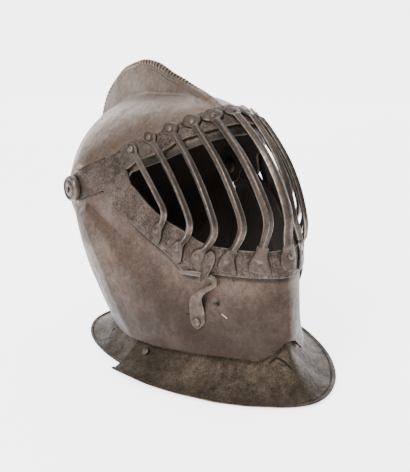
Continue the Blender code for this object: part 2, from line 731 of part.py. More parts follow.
def make_catch(side):
    """Hook on the bevor, its rivet, and the tab of the frame in front of it."""
    axes = local_axes(CATCH_ANGLE, CATCH_LATITUDE, side)
    seat = BEVOR_TOP_HEIGHT + SEAT_GAP
    path = []
    for x, y, width in HOOK_PATH:
        height = seat + HOOK_LIFT * float(ease((y - LIFT_FROM) / LIFT_RUN))
        path.append((x * HOOK_LENGTH, y * HOOK_LENGTH, height, width * HOOK_WIDTH))
    hook = ribbon(side_name("catch_hook", side), path, CATCH_THICK, axes, "catch")
    origin, _, _, out = axes
    bore = HOOK_SHANK + SHANK_PLAY
    hole = turned(side_name("catch_drill", side), ((0.0, bore), (DRILL_REACH, bore)),
                  origin, out, "rivets", sides=16)
    hole.hide_render = True
    hole.display_type = "WIRE"
    cut = hook.modifiers.new("rivet_hole", "BOOLEAN")
    cut.operation = "DIFFERENCE"
    cut.object = hole
    head = seat + CATCH_THICK + SEAT_GAP
    profile = ((seat, HOOK_SHANK), (head, HOOK_SHANK), (head, CATCH_RIVET_RADIUS),
               (head + 0.0008, CATCH_RIVET_RADIUS), (head + 0.0019, 0.55 * CATCH_RIVET_RADIUS))
    turned(side_name("catch_rivet", side), profile, origin, out, "rivets", sides=16)
    lift = seat + HOOK_LIFT + CATCH_THICK + TAB_PLAY
    path = [(x * HOOK_LENGTH, y * HOOK_LENGTH, lift, width * TAB_WIDTH) for x, y, width in TAB_PATH]
    ribbon(side_name("visor_tab", side), path, TAB_THICK, axes, "visor")


def make_gorget_rivet(side):
    """Dome near the rear corner of the front gorget plate."""
    grid = front_gorget_grid()
    corner = grid[GORGET_RIVET_ROW:GORGET_RIVET_ROW + 2, 1:3].reshape(-1, 3)
    middle = corner.mean(0)
    across = corner[3] - corner[0]
    along = corner[2] - corner[1]
    out = np.cross(across, along)
    out /= np.linalg.norm(out)
    if out[2] < 0:
        out = -out
    if side > 0:
        middle = middle * np.array([-1.0, 1.0, 1.0])
        out = out * np.array([-1.0, 1.0, 1.0])
    low = 2 * SEAT_GAP
    profile = ((low, GORGET_RIVET_RADIUS), (low + 0.0009, 0.9 * GORGET_RIVET_RADIUS),
               (low + 0.0020, 0.5 * GORGET_RIVET_RADIUS))
    turned(side_name("gorget_rivet", side), profile, middle, out, "rivets", sides=16)


def flare(neck, collar, rim, rows):
    """Rows from the collar inside the plate above, under its edge, out to the rim."""
    neck = neck - np.array([0.0, 0.0, NECK_STEP])
    grid = [collar, neck]
    for share in rows:
        drop = 1.0 - (1.0 - share) ** 1.7
        flat = neck[:, :2] + (rim[:, :2] - neck[:, :2]) * share
        height = neck[:, 2:] + (rim[:, 2:] - neck[:, 2:]) * drop
        grid.append(np.concatenate([flat, height], 1))
    return np.array(grid)


def plate_from_grid(name, grid, thickness, finish):
    """Plate with the grid as its outer face, thickened inwards and with a
    rolled rim along its last row."""
    along = np.gradient(grid, axis=0)
    over = np.gradient(grid, axis=1)
    normal = np.cross(along, over)
    normal /= np.maximum(np.linalg.norm(normal, axis=-1, keepdims=True), 1e-12)
    if normal[-2, normal.shape[1] // 2, 2] < 0:
        normal = -normal
    inner = grid - normal * thickness
    keep = np.ones((grid.shape[0] - 1, grid.shape[1] - 1), bool)
    return shell(name, grid, inner, keep, finish)


def neck_points(angles, heights):
    latitudes = last_latitude(angles)
    return layer_point(angles, latitudes, heights), latitudes


def both_sides(points):
    """A half that ends in the middle, and its mirror image after it."""
    mirrored = points[..., -2::-1, :] * np.array([-1.0, 1.0, 1.0])
    return np.concatenate([points, mirrored], -2)


def front_gorget_grid():
    angles = np.array(FRONT_COLUMNS)
    under = np.full(len(angles), -FRONT_COLLAR_INSET)
    neck, latitudes = neck_points(angles, under)
    share = (latitudes - latitudes[0]) / (90.0 - latitudes[0])
    collar = layer_point(angles + COLLAR_ANGLE * (1.0 - 0.5 * share), latitudes, under)
    turn = np.radians(90.0 * share)
    rim = np.stack([-RIM_HALF_WIDTH * np.cos(turn) ** (2 / RIM_POWER),
                    -RIM_SIDE_BACK - (RIM_FRONT - RIM_SIDE_BACK) * np.sin(turn) ** (2 / RIM_POWER),
                    WALL + CORNER_LIFT * np.cos(turn) ** 6], 1)
    return both_sides(flare(neck, collar, rim, FLARE_ROWS))


def make_front_gorget():
    return plate_from_grid("front_gorget_plate", front_gorget_grid(), WALL, "gorget")


def make_rear_gorget():
    angles = np.array(REAR_COLUMNS)
    forward = ease((angles - CHEEK_SEAM + 12.0) / 30.0)
    under = -WALL - REAR_COLLAR_INSET - TUCK * forward
    neck, _ = neck_points(angles, under)
    tucked = last_latitude(angles) * (1.0 - COLLAR_SHARE * (1.0 - 0.6 * forward))
    collar = layer_point(angles, tucked, under)
    share = (angles[0] - angles) / (angles[0] - angles[-1])
    turn = np.radians(90.0 * share ** 0.8)
    front = -RIM_SIDE_BACK + 2 * EDGE_GAP
    rim = np.stack([-REAR_HALF_WIDTH * np.cos(turn) ** (2 / REAR_POWER),
                    front + REAR_DEPTH * np.sin(turn) ** (2 / REAR_POWER),
                    np.full(len(turn), WALL)], 1)
    grid = both_sides(flare(neck, collar, rim, FLARE_ROWS))
    return plate_from_grid("rear_gorget_plate", grid, WALL, "gorget")


def turn_about(item, point):
    """Put the origin of a piece on the axis that it turns about."""
    place = mathutils.Vector([float(value) for value in point])
    item.data.transform(mathutils.Matrix.Translation(-place))
    item.location = place


def set_axes():
    """Visor, bevor and all that is riveted to them turn about the pivot axis,
    each hook about its own rivet."""
    pivot = (0.0, PIVOT_BACK, PIVOT_HEIGHT)
    for item in bpy.data.objects:
        if item.name.startswith(MOVING_STEMS):
            turn_about(item, pivot)
    for side in (-1, 1):
        origin = local_axes(CATCH_ANGLE, CATCH_LATITUDE, side)[0]
        turn_about(bpy.data.objects[side_name("catch_hook", side)], origin)


def stand_in_the_middle():
    """Move all pieces so that the middle of the footprint is the origin."""
    low = np.full(3, np.inf)
    high = np.full(3, -np.inf)
    for item in bpy.data.objects:
        if not item.hide_render:
            points = np.array([item.location + vertex.co for vertex in item.data.vertices])
            low = np.minimum(low, points.min(0))
            high = np.maximum(high, points.max(0))
    shift = mathutils.Vector((-0.5 * (low[0] + high[0]), -0.5 * (low[1] + high[1]), -low[2]))
    for item in bpy.data.objects:
        item.location += shift


def main():
    clear_scene()
    make_skull()
    make_bevor()
    make_visor_frame()
    for side in (-1, 1):
        make_visor_arm(side)
        make_pivot_rivet(side)
        make_catch(side)
        make_gorget_rivet(side)
    make_bars()
    make_front_gorget()
    make_rear_gorget()
    set_axes()
    stand_in_the_middle()


main()
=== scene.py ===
"""Looks of a close helmet with a barred visor: aged steel plates, forged bars, rivets.

Metres and degrees, +Z up; the face looks along -Y and the wearer's right is -X.
Every plate is a patch of one form, drawn in polar angles about the pivot axis of
the visor, so that the fine surfaces lie where the frame's solids lie.
"""
import json
import math

import bmesh
import bpy
import numpy as np
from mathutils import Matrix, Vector


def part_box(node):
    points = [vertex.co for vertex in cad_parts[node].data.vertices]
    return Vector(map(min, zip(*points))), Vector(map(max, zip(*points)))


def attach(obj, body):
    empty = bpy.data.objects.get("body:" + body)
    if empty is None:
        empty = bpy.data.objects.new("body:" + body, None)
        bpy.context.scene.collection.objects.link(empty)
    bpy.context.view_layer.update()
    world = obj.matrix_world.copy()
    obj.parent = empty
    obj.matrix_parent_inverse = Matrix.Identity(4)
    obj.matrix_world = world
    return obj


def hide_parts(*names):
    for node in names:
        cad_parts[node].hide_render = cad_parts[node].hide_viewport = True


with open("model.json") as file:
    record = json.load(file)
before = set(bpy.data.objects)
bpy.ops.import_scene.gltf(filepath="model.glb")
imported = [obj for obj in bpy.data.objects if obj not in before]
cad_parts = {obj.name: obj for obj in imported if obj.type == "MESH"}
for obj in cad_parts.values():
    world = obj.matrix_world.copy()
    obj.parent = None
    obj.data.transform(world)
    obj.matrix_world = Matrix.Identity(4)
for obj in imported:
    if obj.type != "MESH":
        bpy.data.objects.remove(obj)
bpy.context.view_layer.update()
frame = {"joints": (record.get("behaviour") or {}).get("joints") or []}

# Sizes shared with the solids
HINGE = {joint["name"]: joint for joint in frame["joints"]}
PIVOT = np.array(HINGE["visor_hinge"]["pos_m"], float)
HALF_WIDTH = 0.096
BOWL_HEIGHT = 0.080
BOWL_BACK = 0.110
FACE_REACH = 0.205
CHIN_REACH = 1.122 * FACE_REACH
NECK_DROP = 0.300
NECK_BASE = 0.160
WALL = 0.0020
LAYER_GAP = 0.0007
BOSS_RADIUS = 0.0180
BOSS_FADE = 0.0100
BOSS_INSET = 0.0062
COMB_HEIGHT = 0.038
COMB_HALF_THICK = 0.0052
COMB_FOOT = 0.0240
KEEL_HEIGHT = 0.0045
KEEL_HALF_WIDTH = 0.0200
BEVOR_TOP_HEIGHT = LAYER_GAP + WALL
FRAME_FLOOR = BEVOR_TOP_HEIGHT + LAYER_GAP
FRAME_TOP_HEIGHT = FRAME_FLOOR + WALL
SEAT_GAP = 0.0004
NAPE_ANGLE = 251.0
CHEEK_SEAM = 275.3
KEEL_FOOT = 332.0
SEAM_GAP = -2.6

# Form: angle from straight ahead, radius, roundness outwards, roundness across
FORM = np.array((
    (-60.0, 1.030 * NECK_DROP, 1.60, 2.00), (-43.0, NECK_DROP, 1.28, 1.94),
    (-34.0, 1.09 * CHIN_REACH, 1.12, 1.86), (-28.0, CHIN_REACH, 1.03, 1.88),
    (-16.0, FACE_REACH, 1.00, 2.00), (-8.0, 0.956 * FACE_REACH, 1.00, 2.00),
    (8.0, 0.854 * FACE_REACH, 1.02, 2.00), (25.0, 0.732 * FACE_REACH, 1.10, 2.00),
    (39.0, 0.639 * FACE_REACH, 1.20, 2.00), (50.0, 0.556 * FACE_REACH, 1.35, 2.00),
    (62.0, 1.225 * BOWL_HEIGHT, 1.50, 2.00), (80.0, 1.05 * BOWL_HEIGHT, 1.70, 1.90),
    (106.0, BOWL_HEIGHT, 1.70, 1.80), (129.0, 0.80 * BOWL_BACK, 1.50, 1.60),
    (144.0, 0.873 * BOWL_BACK, 1.45, 1.50), (160.0, 0.945 * BOWL_BACK, 1.40, 1.45),
    (180.0, BOWL_BACK, 1.40, 1.40), (205.0, 1.03 * BOWL_BACK, 1.50, 1.50),
    (235.0, BOWL_BACK, 1.60, 1.60), (250.0, 1.02 * BOWL_BACK, 1.70, 1.75),
    (270.0, 0.550 * NECK_DROP, 1.60, 1.90), (285.0, 0.750 * NECK_DROP, 1.55, 2.00),
    (300.0, 1.030 * NECK_DROP, 1.60, 2.00)))
COMB = np.array((
    (34.0, 0.00), (42.0, 0.08), (50.0, 0.18), (62.0, 0.38), (80.0, 0.67), (93.0, 0.86),
    (106.0, 0.97), (118.0, 0.95), (129.0, 0.84), (144.0, 0.68), (159.0, 0.44),
    (172.0, 0.20), (184.0, 0.04), (192.0, 0.00)))
NECK_LINE = np.array((
    (251.0, 0.340), (258.0, 0.280), (265.0, 0.230), (276.0, 0.190), (290.0, 0.184),
    (300.5, 0.188), (308.0, 0.184), (317.0, 0.204), (323.0, 0.206), (326.0, 0.203),
    (328.7, 0.245), (332.0, 0.325)))

# Outlines of the plates: latitude from the right pivot, angle about the pivot
BROW_EDGE = np.array(((0, -3), (25, -3), (31, -2.5), (36, 4), (39.5, 20), (55, 22), (63, 23.7),
                      (73, 24.4), (90, 24.3)))
BEVOR_TOP = np.array(((0, 4), (30, 3), (35, -3), (42, -6), (50, -13), (60, -14.5), (74, -12.6),
                      (90, -11.5)))
FRAME_TOP = np.array(((29, 37), (33.4, 37.2), (36, 38.2), (43, 38.4), (48, 36.6), (56, 35),
                      (74, 35.3), (90, 36)))
WINDOW_TOP = np.array(((40.4, 22.2), (46, 25.1), (55, 25.3), (63, 27.2), (80, 27.2), (90, 27.2)))
WINDOW_LOW = np.array(((40.4, 11), (43.5, 1.8), (48.2, -5.3), (54.7, -8.4), (60.6, -10.5),
                       (69, -9.8), (90, -8.6)))
FRAME_LOW = np.array(((29, -7), (33.4, -7.5), (36.2, -10.8), (38.6, -13.8), (41.2, -16.8), (50, -20.8),
                      (54.1, -23.3), (61.2, -19.3), (72.5, -16.5), (90, -14.7)))
WINDOW_START = 40.4
NOSE_LATITUDE = 29.2
NOSE_RUN = 4.2
NOSE_RISE = 4.1

# Bars: upper latitude and angle, lower latitude and angle, from the rear one
BAR_FEET = ((46.0, 33.0, 46.8, -11.8), (54.0, 34.0, 52.6, -15.6), (62.2, 33.2, 58.6, -15.2),
            (70.8, 32.4, 67.6, -13.0), (79.6, 31.6, 78.6, -11.2), (90.0, 32.0, 90.0, -10.2))
BAR_WIDTH = 0.0062
BAR_THICK = 0.0046
BAR_BULGE = 0.0092
LEFT_BULGE = 0.0038
NEAR_LEFT_BULGE = 0.0020
NEAR_LEFT_FEET = (81.0, 31.6, 79.4, -11.2)
KNEE_SWAY = (5.6, 4.8, 3.7, 3.6, 3.2, 0.0)
KNEE_RUN = 0.26
PADDLE_LENGTH = 0.0230
PADDLE_THICK = 0.0022
TOP_LENGTH = 0.0150
BULGE = np.array(((0.0, 0.0), (0.10, 0.30), (0.17, 0.85), (0.25, 1.0), (0.40, 0.85),
                  (0.60, 0.52), (0.80, 0.22), (0.92, 0.06), (1.0, 0.0)))

# Catch hook and tab on one side: rightwards, upwards and width as shares
CATCH_ANGLE = -34.6
CATCH_LATITUDE = 54.5
HOOK_LENGTH = 0.0460
HOOK_WIDTH = 0.0140
HOOK_LIFT = 0.0095
HOOK_PATH = np.array((
    (0.045, -0.135, 0.60), (0.03, -0.07, 0.92), (0.02, 0.04, 1.0), (0.0, 0.17, 1.0), (-0.01, 0.33, 0.95),
    (0.02, 0.46, 0.80), (0.10, 0.58, 0.48), (0.21, 0.67, 0.34), (0.32, 0.735, 0.30), (0.39, 0.80, 0.29),
    (0.39, 0.87, 0.29), (0.33, 0.925, 0.30), (0.21, 0.95, 0.32), (0.06, 0.96, 0.32), (-0.10, 0.96, 0.30),
    (-0.27, 0.955, 0.22), (-0.39, 0.985, 0.10)))
TAB_PATH = np.array((
    (0.31, 1.44, 0.45), (0.30, 1.38, 0.85), (0.27, 1.25, 1.0), (0.23, 1.11, 0.92), (0.19, 0.98, 0.75),
    (0.15, 0.86, 0.50), (0.13, 0.80, 0.22)))
TAB_WIDTH = 0.0100

# Gorget plates
FRONT_COLUMNS = (-59.1, -56.0, -52.0, -47.0, -42.0, -38.0, -35.0, -33.0, -31.0, -29.4, -28.0)
REAR_COLUMNS = (299.6, 294.0, 287.0, 280.0, 274.0, 268.0, 262.0, 256.0, 251.0)
COLLAR_ANGLE = 3.4
FRONT_INSET = 0.0032
REAR_INSET = 0.0022
TUCK = 0.0105
COLLAR_SHARE = 0.07
NECK_STEP = 0.0036
RIM_HALF_WIDTH = 0.1078
RIM_FRONT = 0.1848
RIM_LIFT = 0.0008
RIM_SIDE_BACK = 0.024
RIM_POWER = 1.66
REAR_HALF_WIDTH = 0.091
REAR_DEPTH = 0.1468
REAR_POWER = 2.3
CORNER_LIFT = 0.0040
SHIFT = PIVOT[1] - 0.058
MIRROR = np.array((-1.0, 1.0, 1.0))

# Wear seen on the right side: holes as place and radius, lines as two ends
BEVOR_HOLES = (((-0.0449, -0.0969, 0.0800), 0.0021),)
BEVOR_PITS = (((-0.0598, -0.0730, 0.0661), 0.0020), ((-0.0364, -0.1100, 0.1027), 0.0018),
              ((-0.0037, -0.1382, 0.1073), 0.0018))
SCRATCH = ((-0.0428, -0.1015, 0.0706), (-0.0406, -0.1055, 0.0677))
REAR_HOLES = (((-0.0650, 0.0503, 0.0141), 0.0016), ((-0.0627, 0.0433, 0.0195), 0.0020),
              ((-0.0613, 0.0342, 0.0249), 0.0014))
REAR_CRACK = ((-0.0803, 0.0634, 0.0000), (-0.0783, 0.0555, 0.0032), (-0.0736, 0.0500, 0.0067),
              (-0.0717, 0.0398, 0.0103))
CRACK_BRANCH = ((-0.0736, 0.0500, 0.0067), (-0.0816, 0.0415, 0.0032))
FRONT_TEAR = ((-0.0154, -0.1350, 0.0299), (-0.0097, -0.1381, 0.0345), (-0.0063, -0.1434, 0.0321),
              (-0.0028, -0.1498, 0.0262))
DENTS = (((-0.0744, -0.0321, 0.0235), 0.006, 0.0016), ((-0.0783, 0.0297, 0.0065), 0.008, 0.0014),
         ((-0.0802, 0.0085, 0.0070), 0.007, 0.0012))
LINE_DEPTH = 0.0056
CRACK_WIDTH = 0.0012
SCRATCH_WIDTH = 0.0007
# Painted contact shadow along the visor frame's outline: its strength, where it starts and how far it runs
FRAME_SHADOW = 0.72
FRAME_SHADOW_FROM = 0.0030
FRAME_SHADOW_RUN = 0.0042
COMB_SHARE = 0.925
ROPE_PITCH = 0.0050
ROPE_RADIUS = 0.0034
ROPE_NOTCH = 0.42

# Small thicknesses and gaps, and what all finishes share
HOOK_THICK = 0.0018
TAB_THICK = 0.0016
TAB_GAP = 0.0016
BEAD = 0.0021
EDGE_ROUND = 0.0004
EDGE_WIDTH = 0.0012
METALLIC = 0.75
# Near black laid on painted shade, on rust round holes, on the comb's cut line and on cracks
SHADE_AND_RUST_BLACK = (0.006, 0.005, 0.004, 1.0)


def ease(value):
    """Smooth step: 3 t^2 - 2 t^3 with t held between 0 and 1."""
    value = np.clip(value, 0.0, 1.0)
    return value * value * (3 - 2 * value)


def table(rows, at, column=1):
    """Monotone cubic through one column of the rows, at the places asked for."""
    places, values = rows[:, 0].astype(float), rows[:, column].astype(float)
    steps = np.diff(places)
    slopes = np.diff(values) / steps
    left, right = slopes[:-1], slopes[1:]
    same = left * right > 0
    near = np.where(same, left, 1.0)
    far = np.where(same, right, 1.0)
    before, after = 2 * steps[1:] + steps[:-1], steps[1:] + 2 * steps[:-1]
    inner = np.where(same, (before + after) / (before / near + after / far), 0.0)
    tangents = np.concatenate([slopes[:1], inner, slopes[-1:]])
    at = np.clip(np.asarray(at, float), places[0], places[-1])
    k = np.clip(np.searchsorted(places, at) - 1, 0, len(steps) - 1)
    t = (at - places[k]) / steps[k]
    return ((1 + 2 * t) * (1 - t) ** 2 * values[k] + t * (1 - t) ** 2 * steps[k] * tangents[k]
            + t * t * (3 - 2 * t) * values[k + 1] + t * t * (t - 1) * steps[k] * tangents[k + 1])


def outline(rows, latitude):
    """Straight runs between the corners of an outline."""
    return np.interp(latitude, rows[:, 0], rows[:, 1])


def form_row(angle):
    """Radius, roundness outwards and roundness across at an angle."""
    angle = np.asarray(angle, float)
    angle = np.where(angle < -60.0, angle + 360.0, angle)
    return table(FORM, angle, 1), table(FORM, angle, 2), table(FORM, angle, 3)


def form_point(angle, latitude, comb=0.0):
    """Superellipse about the pivot axis: across = half width * cos^(2/q), out =
    radius * sin^(2/p), plus a keel on the chin and a fin over the bowl; near the
    pivots the side is flattened to a round boss."""
    angle, latitude = np.broadcast_arrays(np.asarray(angle, float), np.asarray(latitude, float))
    radius, round_out, round_across = form_row(angle)
    cosine = np.cos(np.radians(latitude))
    sine = np.clip(np.sin(np.radians(latitude)), 0.0, 1.0)
    across = HALF_WIDTH * np.sign(cosine) * np.abs(cosine) ** (2.0 / round_across)
    out = radius * sine ** (2.0 / round_out)
    away = np.abs(across)
    keel = KEEL_HEIGHT * ease((20.0 - np.abs(angle + 22.0)) / 12.0)
    out = out + keel * np.clip(1.0 - away / KEEL_HALF_WIDTH, 0.0, 1.0) ** 1.5
    ridge = comb * COMB_HEIGHT * table(COMB, angle)
    fin = 1.0 - ease((away - 0.5 * COMB_HALF_THICK) / (0.9 * COMB_HALF_THICK))
    foot = np.clip(1.0 - away / COMB_FOOT, 0.0, 1.0) ** 2.2
    out = out + ridge * (0.80 * fin + 0.20 * foot)
    flat = HALF_WIDTH - BOSS_INSET
    blend = ease((out - BOSS_RADIUS) / BOSS_FADE)
    across = np.where(across >= 0, 1.0, -1.0) * (flat + (away - flat) * blend)
    turn = np.radians(angle)
    return np.stack([-across, PIVOT[1] - out * np.cos(turn), PIVOT[2] + out * np.sin(turn)], -1)


def unevenness(points):
    """Hand-hammered waviness in metres: a few crossed sines over 17 to 60 mm."""
    x, y, z = np.moveaxis(np.asarray(points) * 1000.0, -1, 0)
    wave = np.sin(x / 9.1 + 1.3 * np.sin(z / 23.0)) * np.sin(y / 7.3 + np.sin(x / 19.0))
    wave = wave + 0.8 * np.sin(z / 8.3 + y / 14.7) * np.sin(x / 12.1 - z / 17.3)
    return 0.00013 * wave


def layer_point(angle, latitude, height, comb=0.0):
    """Form point moved out along the form's normal by a height and the waviness."""
    angle, latitude, height = np.broadcast_arrays(
        np.asarray(angle, float), np.asarray(latitude, float), np.asarray(height, float))
    step = 0.4
    along = form_point(angle + step, latitude, comb) - form_point(angle - step, latitude, comb)
    over = form_point(angle, latitude + step, comb) - form_point(angle, latitude - step, comb)
    normal = np.cross(over, along)
    normal /= np.maximum(np.linalg.norm(normal, axis=-1, keepdims=True), 1e-12)
    point = form_point(angle, latitude, comb)
    return point + normal * (height + unevenness(point))[..., None]


def latitude_at(distance, angle):
    """Latitude at which the form is this far from the pivot axis."""
    radius, round_out, _ = form_row(angle)
    return np.degrees(np.arcsin(np.clip(distance / radius, 0.0, 1.0) ** (round_out / 2.0)))


def last_latitude(angle):
    """Where a column ends: the middle of the helmet, or the neck line if it is open."""
    turned = np.where(np.asarray(angle, float) < 0, np.asarray(angle, float) + 360.0, angle)
    open_side = (turned > NAPE_ANGLE + 1e-6) & (turned < KEEL_FOOT - 1e-6)
    safe = np.where(open_side, turned, 300.0)
    neck = NECK_BASE * (1.0 - table(NECK_LINE, safe)) / np.abs(np.sin(np.radians(safe)))
    return np.where(open_side, latitude_at(neck, angle), 90.0)


def grid_quads(shape, keep=None, close=False):
    """Quads between neighbouring grid points; close joins the last column to the first."""
    number = np.arange(shape[0] * shape[1]).reshape(shape)
    if close:
        number = np.concatenate([number, number[:, :1]], 1)
    quads = np.stack([number[:-1, :-1], number[:-1, 1:], number[1:, 1:], number[1:, :-1]], -1)
    return quads[keep] if keep is not None else quads.reshape(-1, 4)


def edge_distance(grid):
    """Arc length from each grid point to the nearest end of its row or column."""
    reach = []
    for axis in (0, 1):
        step = np.linalg.norm(np.diff(grid, axis=axis), axis=-1)
        walked = np.cumsum(step, axis)
        zero = np.zeros_like(np.take(walked, [0], axis))
        walked = np.concatenate([zero, walked], axis)
        total = np.take(walked, [-1], axis)
        reach.append(np.minimum(walked, total - walked))
    return np.minimum(*reach)


def dent(grid, marks):
    """Push points inwards round each mark: depth * exp(-(distance / width)^2)."""
    normal = np.cross(np.gradient(grid, axis=0), np.gradient(grid, axis=1))
    normal /= np.maximum(np.linalg.norm(normal, axis=-1, keepdims=True), 1e-12)
    for place, width, depth in marks:
        distance = np.linalg.norm(grid - np.array(place), axis=-1)
        row, column = np.unravel_index(distance.argmin(), distance.shape)
        inwards = -np.sign(normal[row, column, 2]) * depth * np.exp(-(distance / width) ** 2)
        grid = grid + normal * inwards[..., None]
    return grid


def pierce(grid, keep, holes):
    """Open round holes: four quads are left out and the eight points round them
    are drawn onto a circle. Returns how dark each point is, from rust in the hole."""
    shade_and_rust = np.zeros(grid.shape[:2])
    for place, radius in holes:
        distance = np.linalg.norm(grid - np.array(place), axis=-1)
        row, column = np.unravel_index(distance.argmin(), distance.shape)
        centre = grid[row, column].copy()
        keep[row - 1:row + 1, column - 1:column + 1] = False
        block = grid[row - 1:row + 2, column - 1:column + 2]
        away = block - centre
        length = np.maximum(np.linalg.norm(away, axis=-1, keepdims=True), 1e-9)
        block[:] = centre + away / length * radius * (length > 1e-8)
        shade_and_rust = np.maximum(shade_and_rust, 1.0 - ease((distance - 0.8 * radius) / 0.0022))
    return shade_and_rust


def piece(name, points, faces, body, slot, nodes=(), near=None, wall=0.0, bevel=0.0,
          closed=False, middle=None, shade_and_rust=None, crest=None):
    """Mesh from points and faces, doubles joined and faces turned outwards, that
    stands for the named solids. near is each point's distance from an edge or from a ridge
    lit as a painted highlight, the darkening how dark it is from painted shade and from rust
    round holes, and crest how far below the top of the comb."""
    mesh = bpy.data.meshes.new(name)
    mesh.from_pydata(np.asarray(points).reshape(-1, 3).tolist(), [], [list(map(int, f)) for f in faces])
    for label, values, plain in (("edge", near, 1.0), ("shade_and_rust", shade_and_rust, 0.0), ("crest", crest, 1.0)):
        values = np.full(len(mesh.vertices), plain) if values is None else np.asarray(values).reshape(-1)
        layer = mesh.attributes.new(label, "FLOAT", "POINT")
        layer.data.foreach_set("value", values.astype(np.float32))
    body_mesh = bmesh.new()
    body_mesh.from_mesh(mesh)
    bmesh.ops.remove_doubles(body_mesh, verts=body_mesh.verts, dist=2e-6)
    loose = [v for v in body_mesh.verts if not v.link_faces]
    bmesh.ops.delete(body_mesh, geom=loose, context="VERTS")
    bmesh.ops.recalc_face_normals(body_mesh, faces=body_mesh.faces)
    if closed:
        inward = body_mesh.calc_volume(signed=True) < 0
    else:
        centre = Vector(middle if middle is not None else (0.0, PIVOT[1] - 0.02, PIVOT[2] - 0.02))
        inward = sum((face.calc_center_median() - centre).dot(face.normal) * face.calc_area()
                     for face in body_mesh.faces) < 0
    if inward:
        bmesh.ops.reverse_faces(body_mesh, faces=body_mesh.faces)
    body_mesh.to_mesh(mesh)
    body_mesh.free()
    mesh.shade_smooth()
    item = bpy.data.objects.new(name, mesh)
    bpy.context.scene.collection.objects.link(item)
    if wall:
        solid = item.modifiers.new("wall", "SOLIDIFY")
        solid.thickness = wall
        solid.offset = -1.0
        solid.material_offset = 1
    if bevel:
        round_edge = item.modifiers.new("worn_edge", "BEVEL")
        round_edge.width = bevel
        round_edge.segments = 2
        round_edge.limit_method = "ANGLE"
        round_edge.angle_limit = math.radians(50.0)
        round_edge.harden_normals = True
    item.data.materials.append(FINISH[slot])
    if wall:
        item.data.materials.append(FINISH["inside"])
    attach(item, body)
    if nodes:
        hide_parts(*nodes)
    return item


def sweep(path, across, out, section):
    """Section points (sideways, outwards) carried along a path: path + across * s + out * t."""
    return (path[:, None] + across[:, None] * section[..., 0:1] + out[:, None] * section[..., 1:2])


def tube_faces(shape):
    """Quads round a swept section, with a cap at each end."""
    rows, columns = shape[:2]
    quads = grid_quads((rows, columns), close=True).tolist()
    return quads + [list(range(columns)), list(range((rows - 1) * columns, rows * columns))[::-1]]


def lathe(profile, origin, axis, sides=48):
    """Profile of (distance along the axis, radius) turned about the axis."""
    axis = np.asarray(axis, float) / np.linalg.norm(axis)
    first = np.cross(axis, (0.0, 0.0, 1.0))
    first /= np.linalg.norm(first)
    second = np.cross(axis, first)
    turn = np.linspace(0, 2 * np.pi, sides, endpoint=False)
    ring = first * np.cos(turn)[:, None] + second * np.sin(turn)[:, None]
    profile = np.asarray(profile, float)
    return (np.asarray(origin) + axis * profile[:, 0, None, None] + ring * profile[:, 1, None, None])


def dome(radius, height, rows=7):
    """Lathe profile of a rivet head: quarter ellipse on a short straight foot."""
    turn = np.linspace(0, 0.5 * np.pi, rows)
    head = np.stack([0.25 * height + 0.75 * height * np.sin(turn), radius * np.cos(turn)], 1)
    head[-1, 1] = 0.02 * radius
    return np.concatenate([[[0.0, radius]], head])


def from_pivot_to_pivot(edges, counts, plain, height, comb=0.0, fin=()):
    """Grid of a plate between its first and last outline, with round ears.

    Rows near a pivot are circles. The others share out the way to the middle of
    the helmet or to the neck line, and fin rows lie at set distances from the middle."""
    first, hinge, last = edges
    ears = np.array((0.0046, 0.0078, 0.0112, 0.0142, 0.0171))[:, None]
    rows = len(ears) + len(plain) + len(fin)
    latitude = np.full((rows, sum(counts) + 1), 5.0)
    along = [np.linspace(0.0, 1.0, n + 1) for n in counts]
    for _ in range(40):
        start = outline(first, latitude[:, 0]) if np.ndim(first) else np.full(rows, first)
        reach = latitude[:, counts[0] + counts[1]]
        finish = outline(last, reach) if np.ndim(last) else np.full(rows, last)
        start, finish = start[:, None], finish[:, None]
        angle = np.concatenate([start + (hinge - start) * along[0],
                                hinge + (finish - hinge) * along[1][1:],
                                finish + (start + 360.0 - finish) * along[2][1:]], 1)
        rest = angle[len(ears):]
        inner = latitude_at(ears[-1], rest)
        round_across = form_row(rest)[2]
        spots = np.concatenate([np.full(len(plain), fin[0] if len(fin) else 0.0), fin])[:, None]
        target = np.degrees(np.arccos(np.clip(spots / HALF_WIDTH, 0.0, 1.0) ** (0.5 * round_across)))
        shares = np.concatenate([plain, np.ones(len(fin))])[:, None]
        target = inner + (target - inner) * shares
        wanted = inner + (last_latitude(rest) - inner) * (target - inner) / (90.0 - inner)
        latitude = np.concatenate([latitude_at(ears, angle[:len(ears)]),
                                   0.5 * (latitude[len(ears):] + wanted)])
    half = layer_point(angle, latitude, height, comb)
    grid = np.concatenate([half, half[::-1] * MIRROR])
    keep = np.zeros((2 * rows - 1, sum(counts)), bool)
    keep[:, :counts[0] + counts[1]] = True
    keep[:len(ears) - 1] = True
    keep[-len(ears) + 1:] = True
    if hinge == NAPE_ANGLE:
        keep[rows - 1, counts[0]:] = False
    else:
        keep[rows - 1, :counts[0]] = False
    return grid, keep, counts[0] + counts[1]


def plate_edge(grid, columns):
    """Distance from the first and last kept columns of a plate."""
    kept = grid[:, :columns + 1]
    step = np.linalg.norm(np.diff(kept, axis=1), axis=-1)
    walked = np.concatenate([np.zeros((len(grid), 1)), np.cumsum(step, 1)], 1)
    near = np.minimum(walked, walked[:, -1:] - walked)
    return np.concatenate([near, np.zeros((len(grid), grid.shape[1] - columns - 1))], 1)


def feed(tree, socket, value):
    """Link another socket to this one, or set its plain value."""
    if isinstance(value, bpy.types.NodeSocket):
        tree.links.new(value, socket)
    else:
        socket.default_value = value


def node(tree, kind, inputs=None, **settings):
    """One shader node with its settings, values and links."""
    item = tree.nodes.new("ShaderNode" + kind)
    for name, value in settings.items():
        setattr(item, name, value)
    for key, value in (inputs or {}).items():
        feed(tree, item.inputs[key], value)
    return item


def calc(tree, operation, first, second=0.0, clamp=False):
    """One sum, product or other operation on two values."""
    return node(tree, "Math", {0: first, 1: second}, operation=operation, use_clamp=clamp).outputs[0]


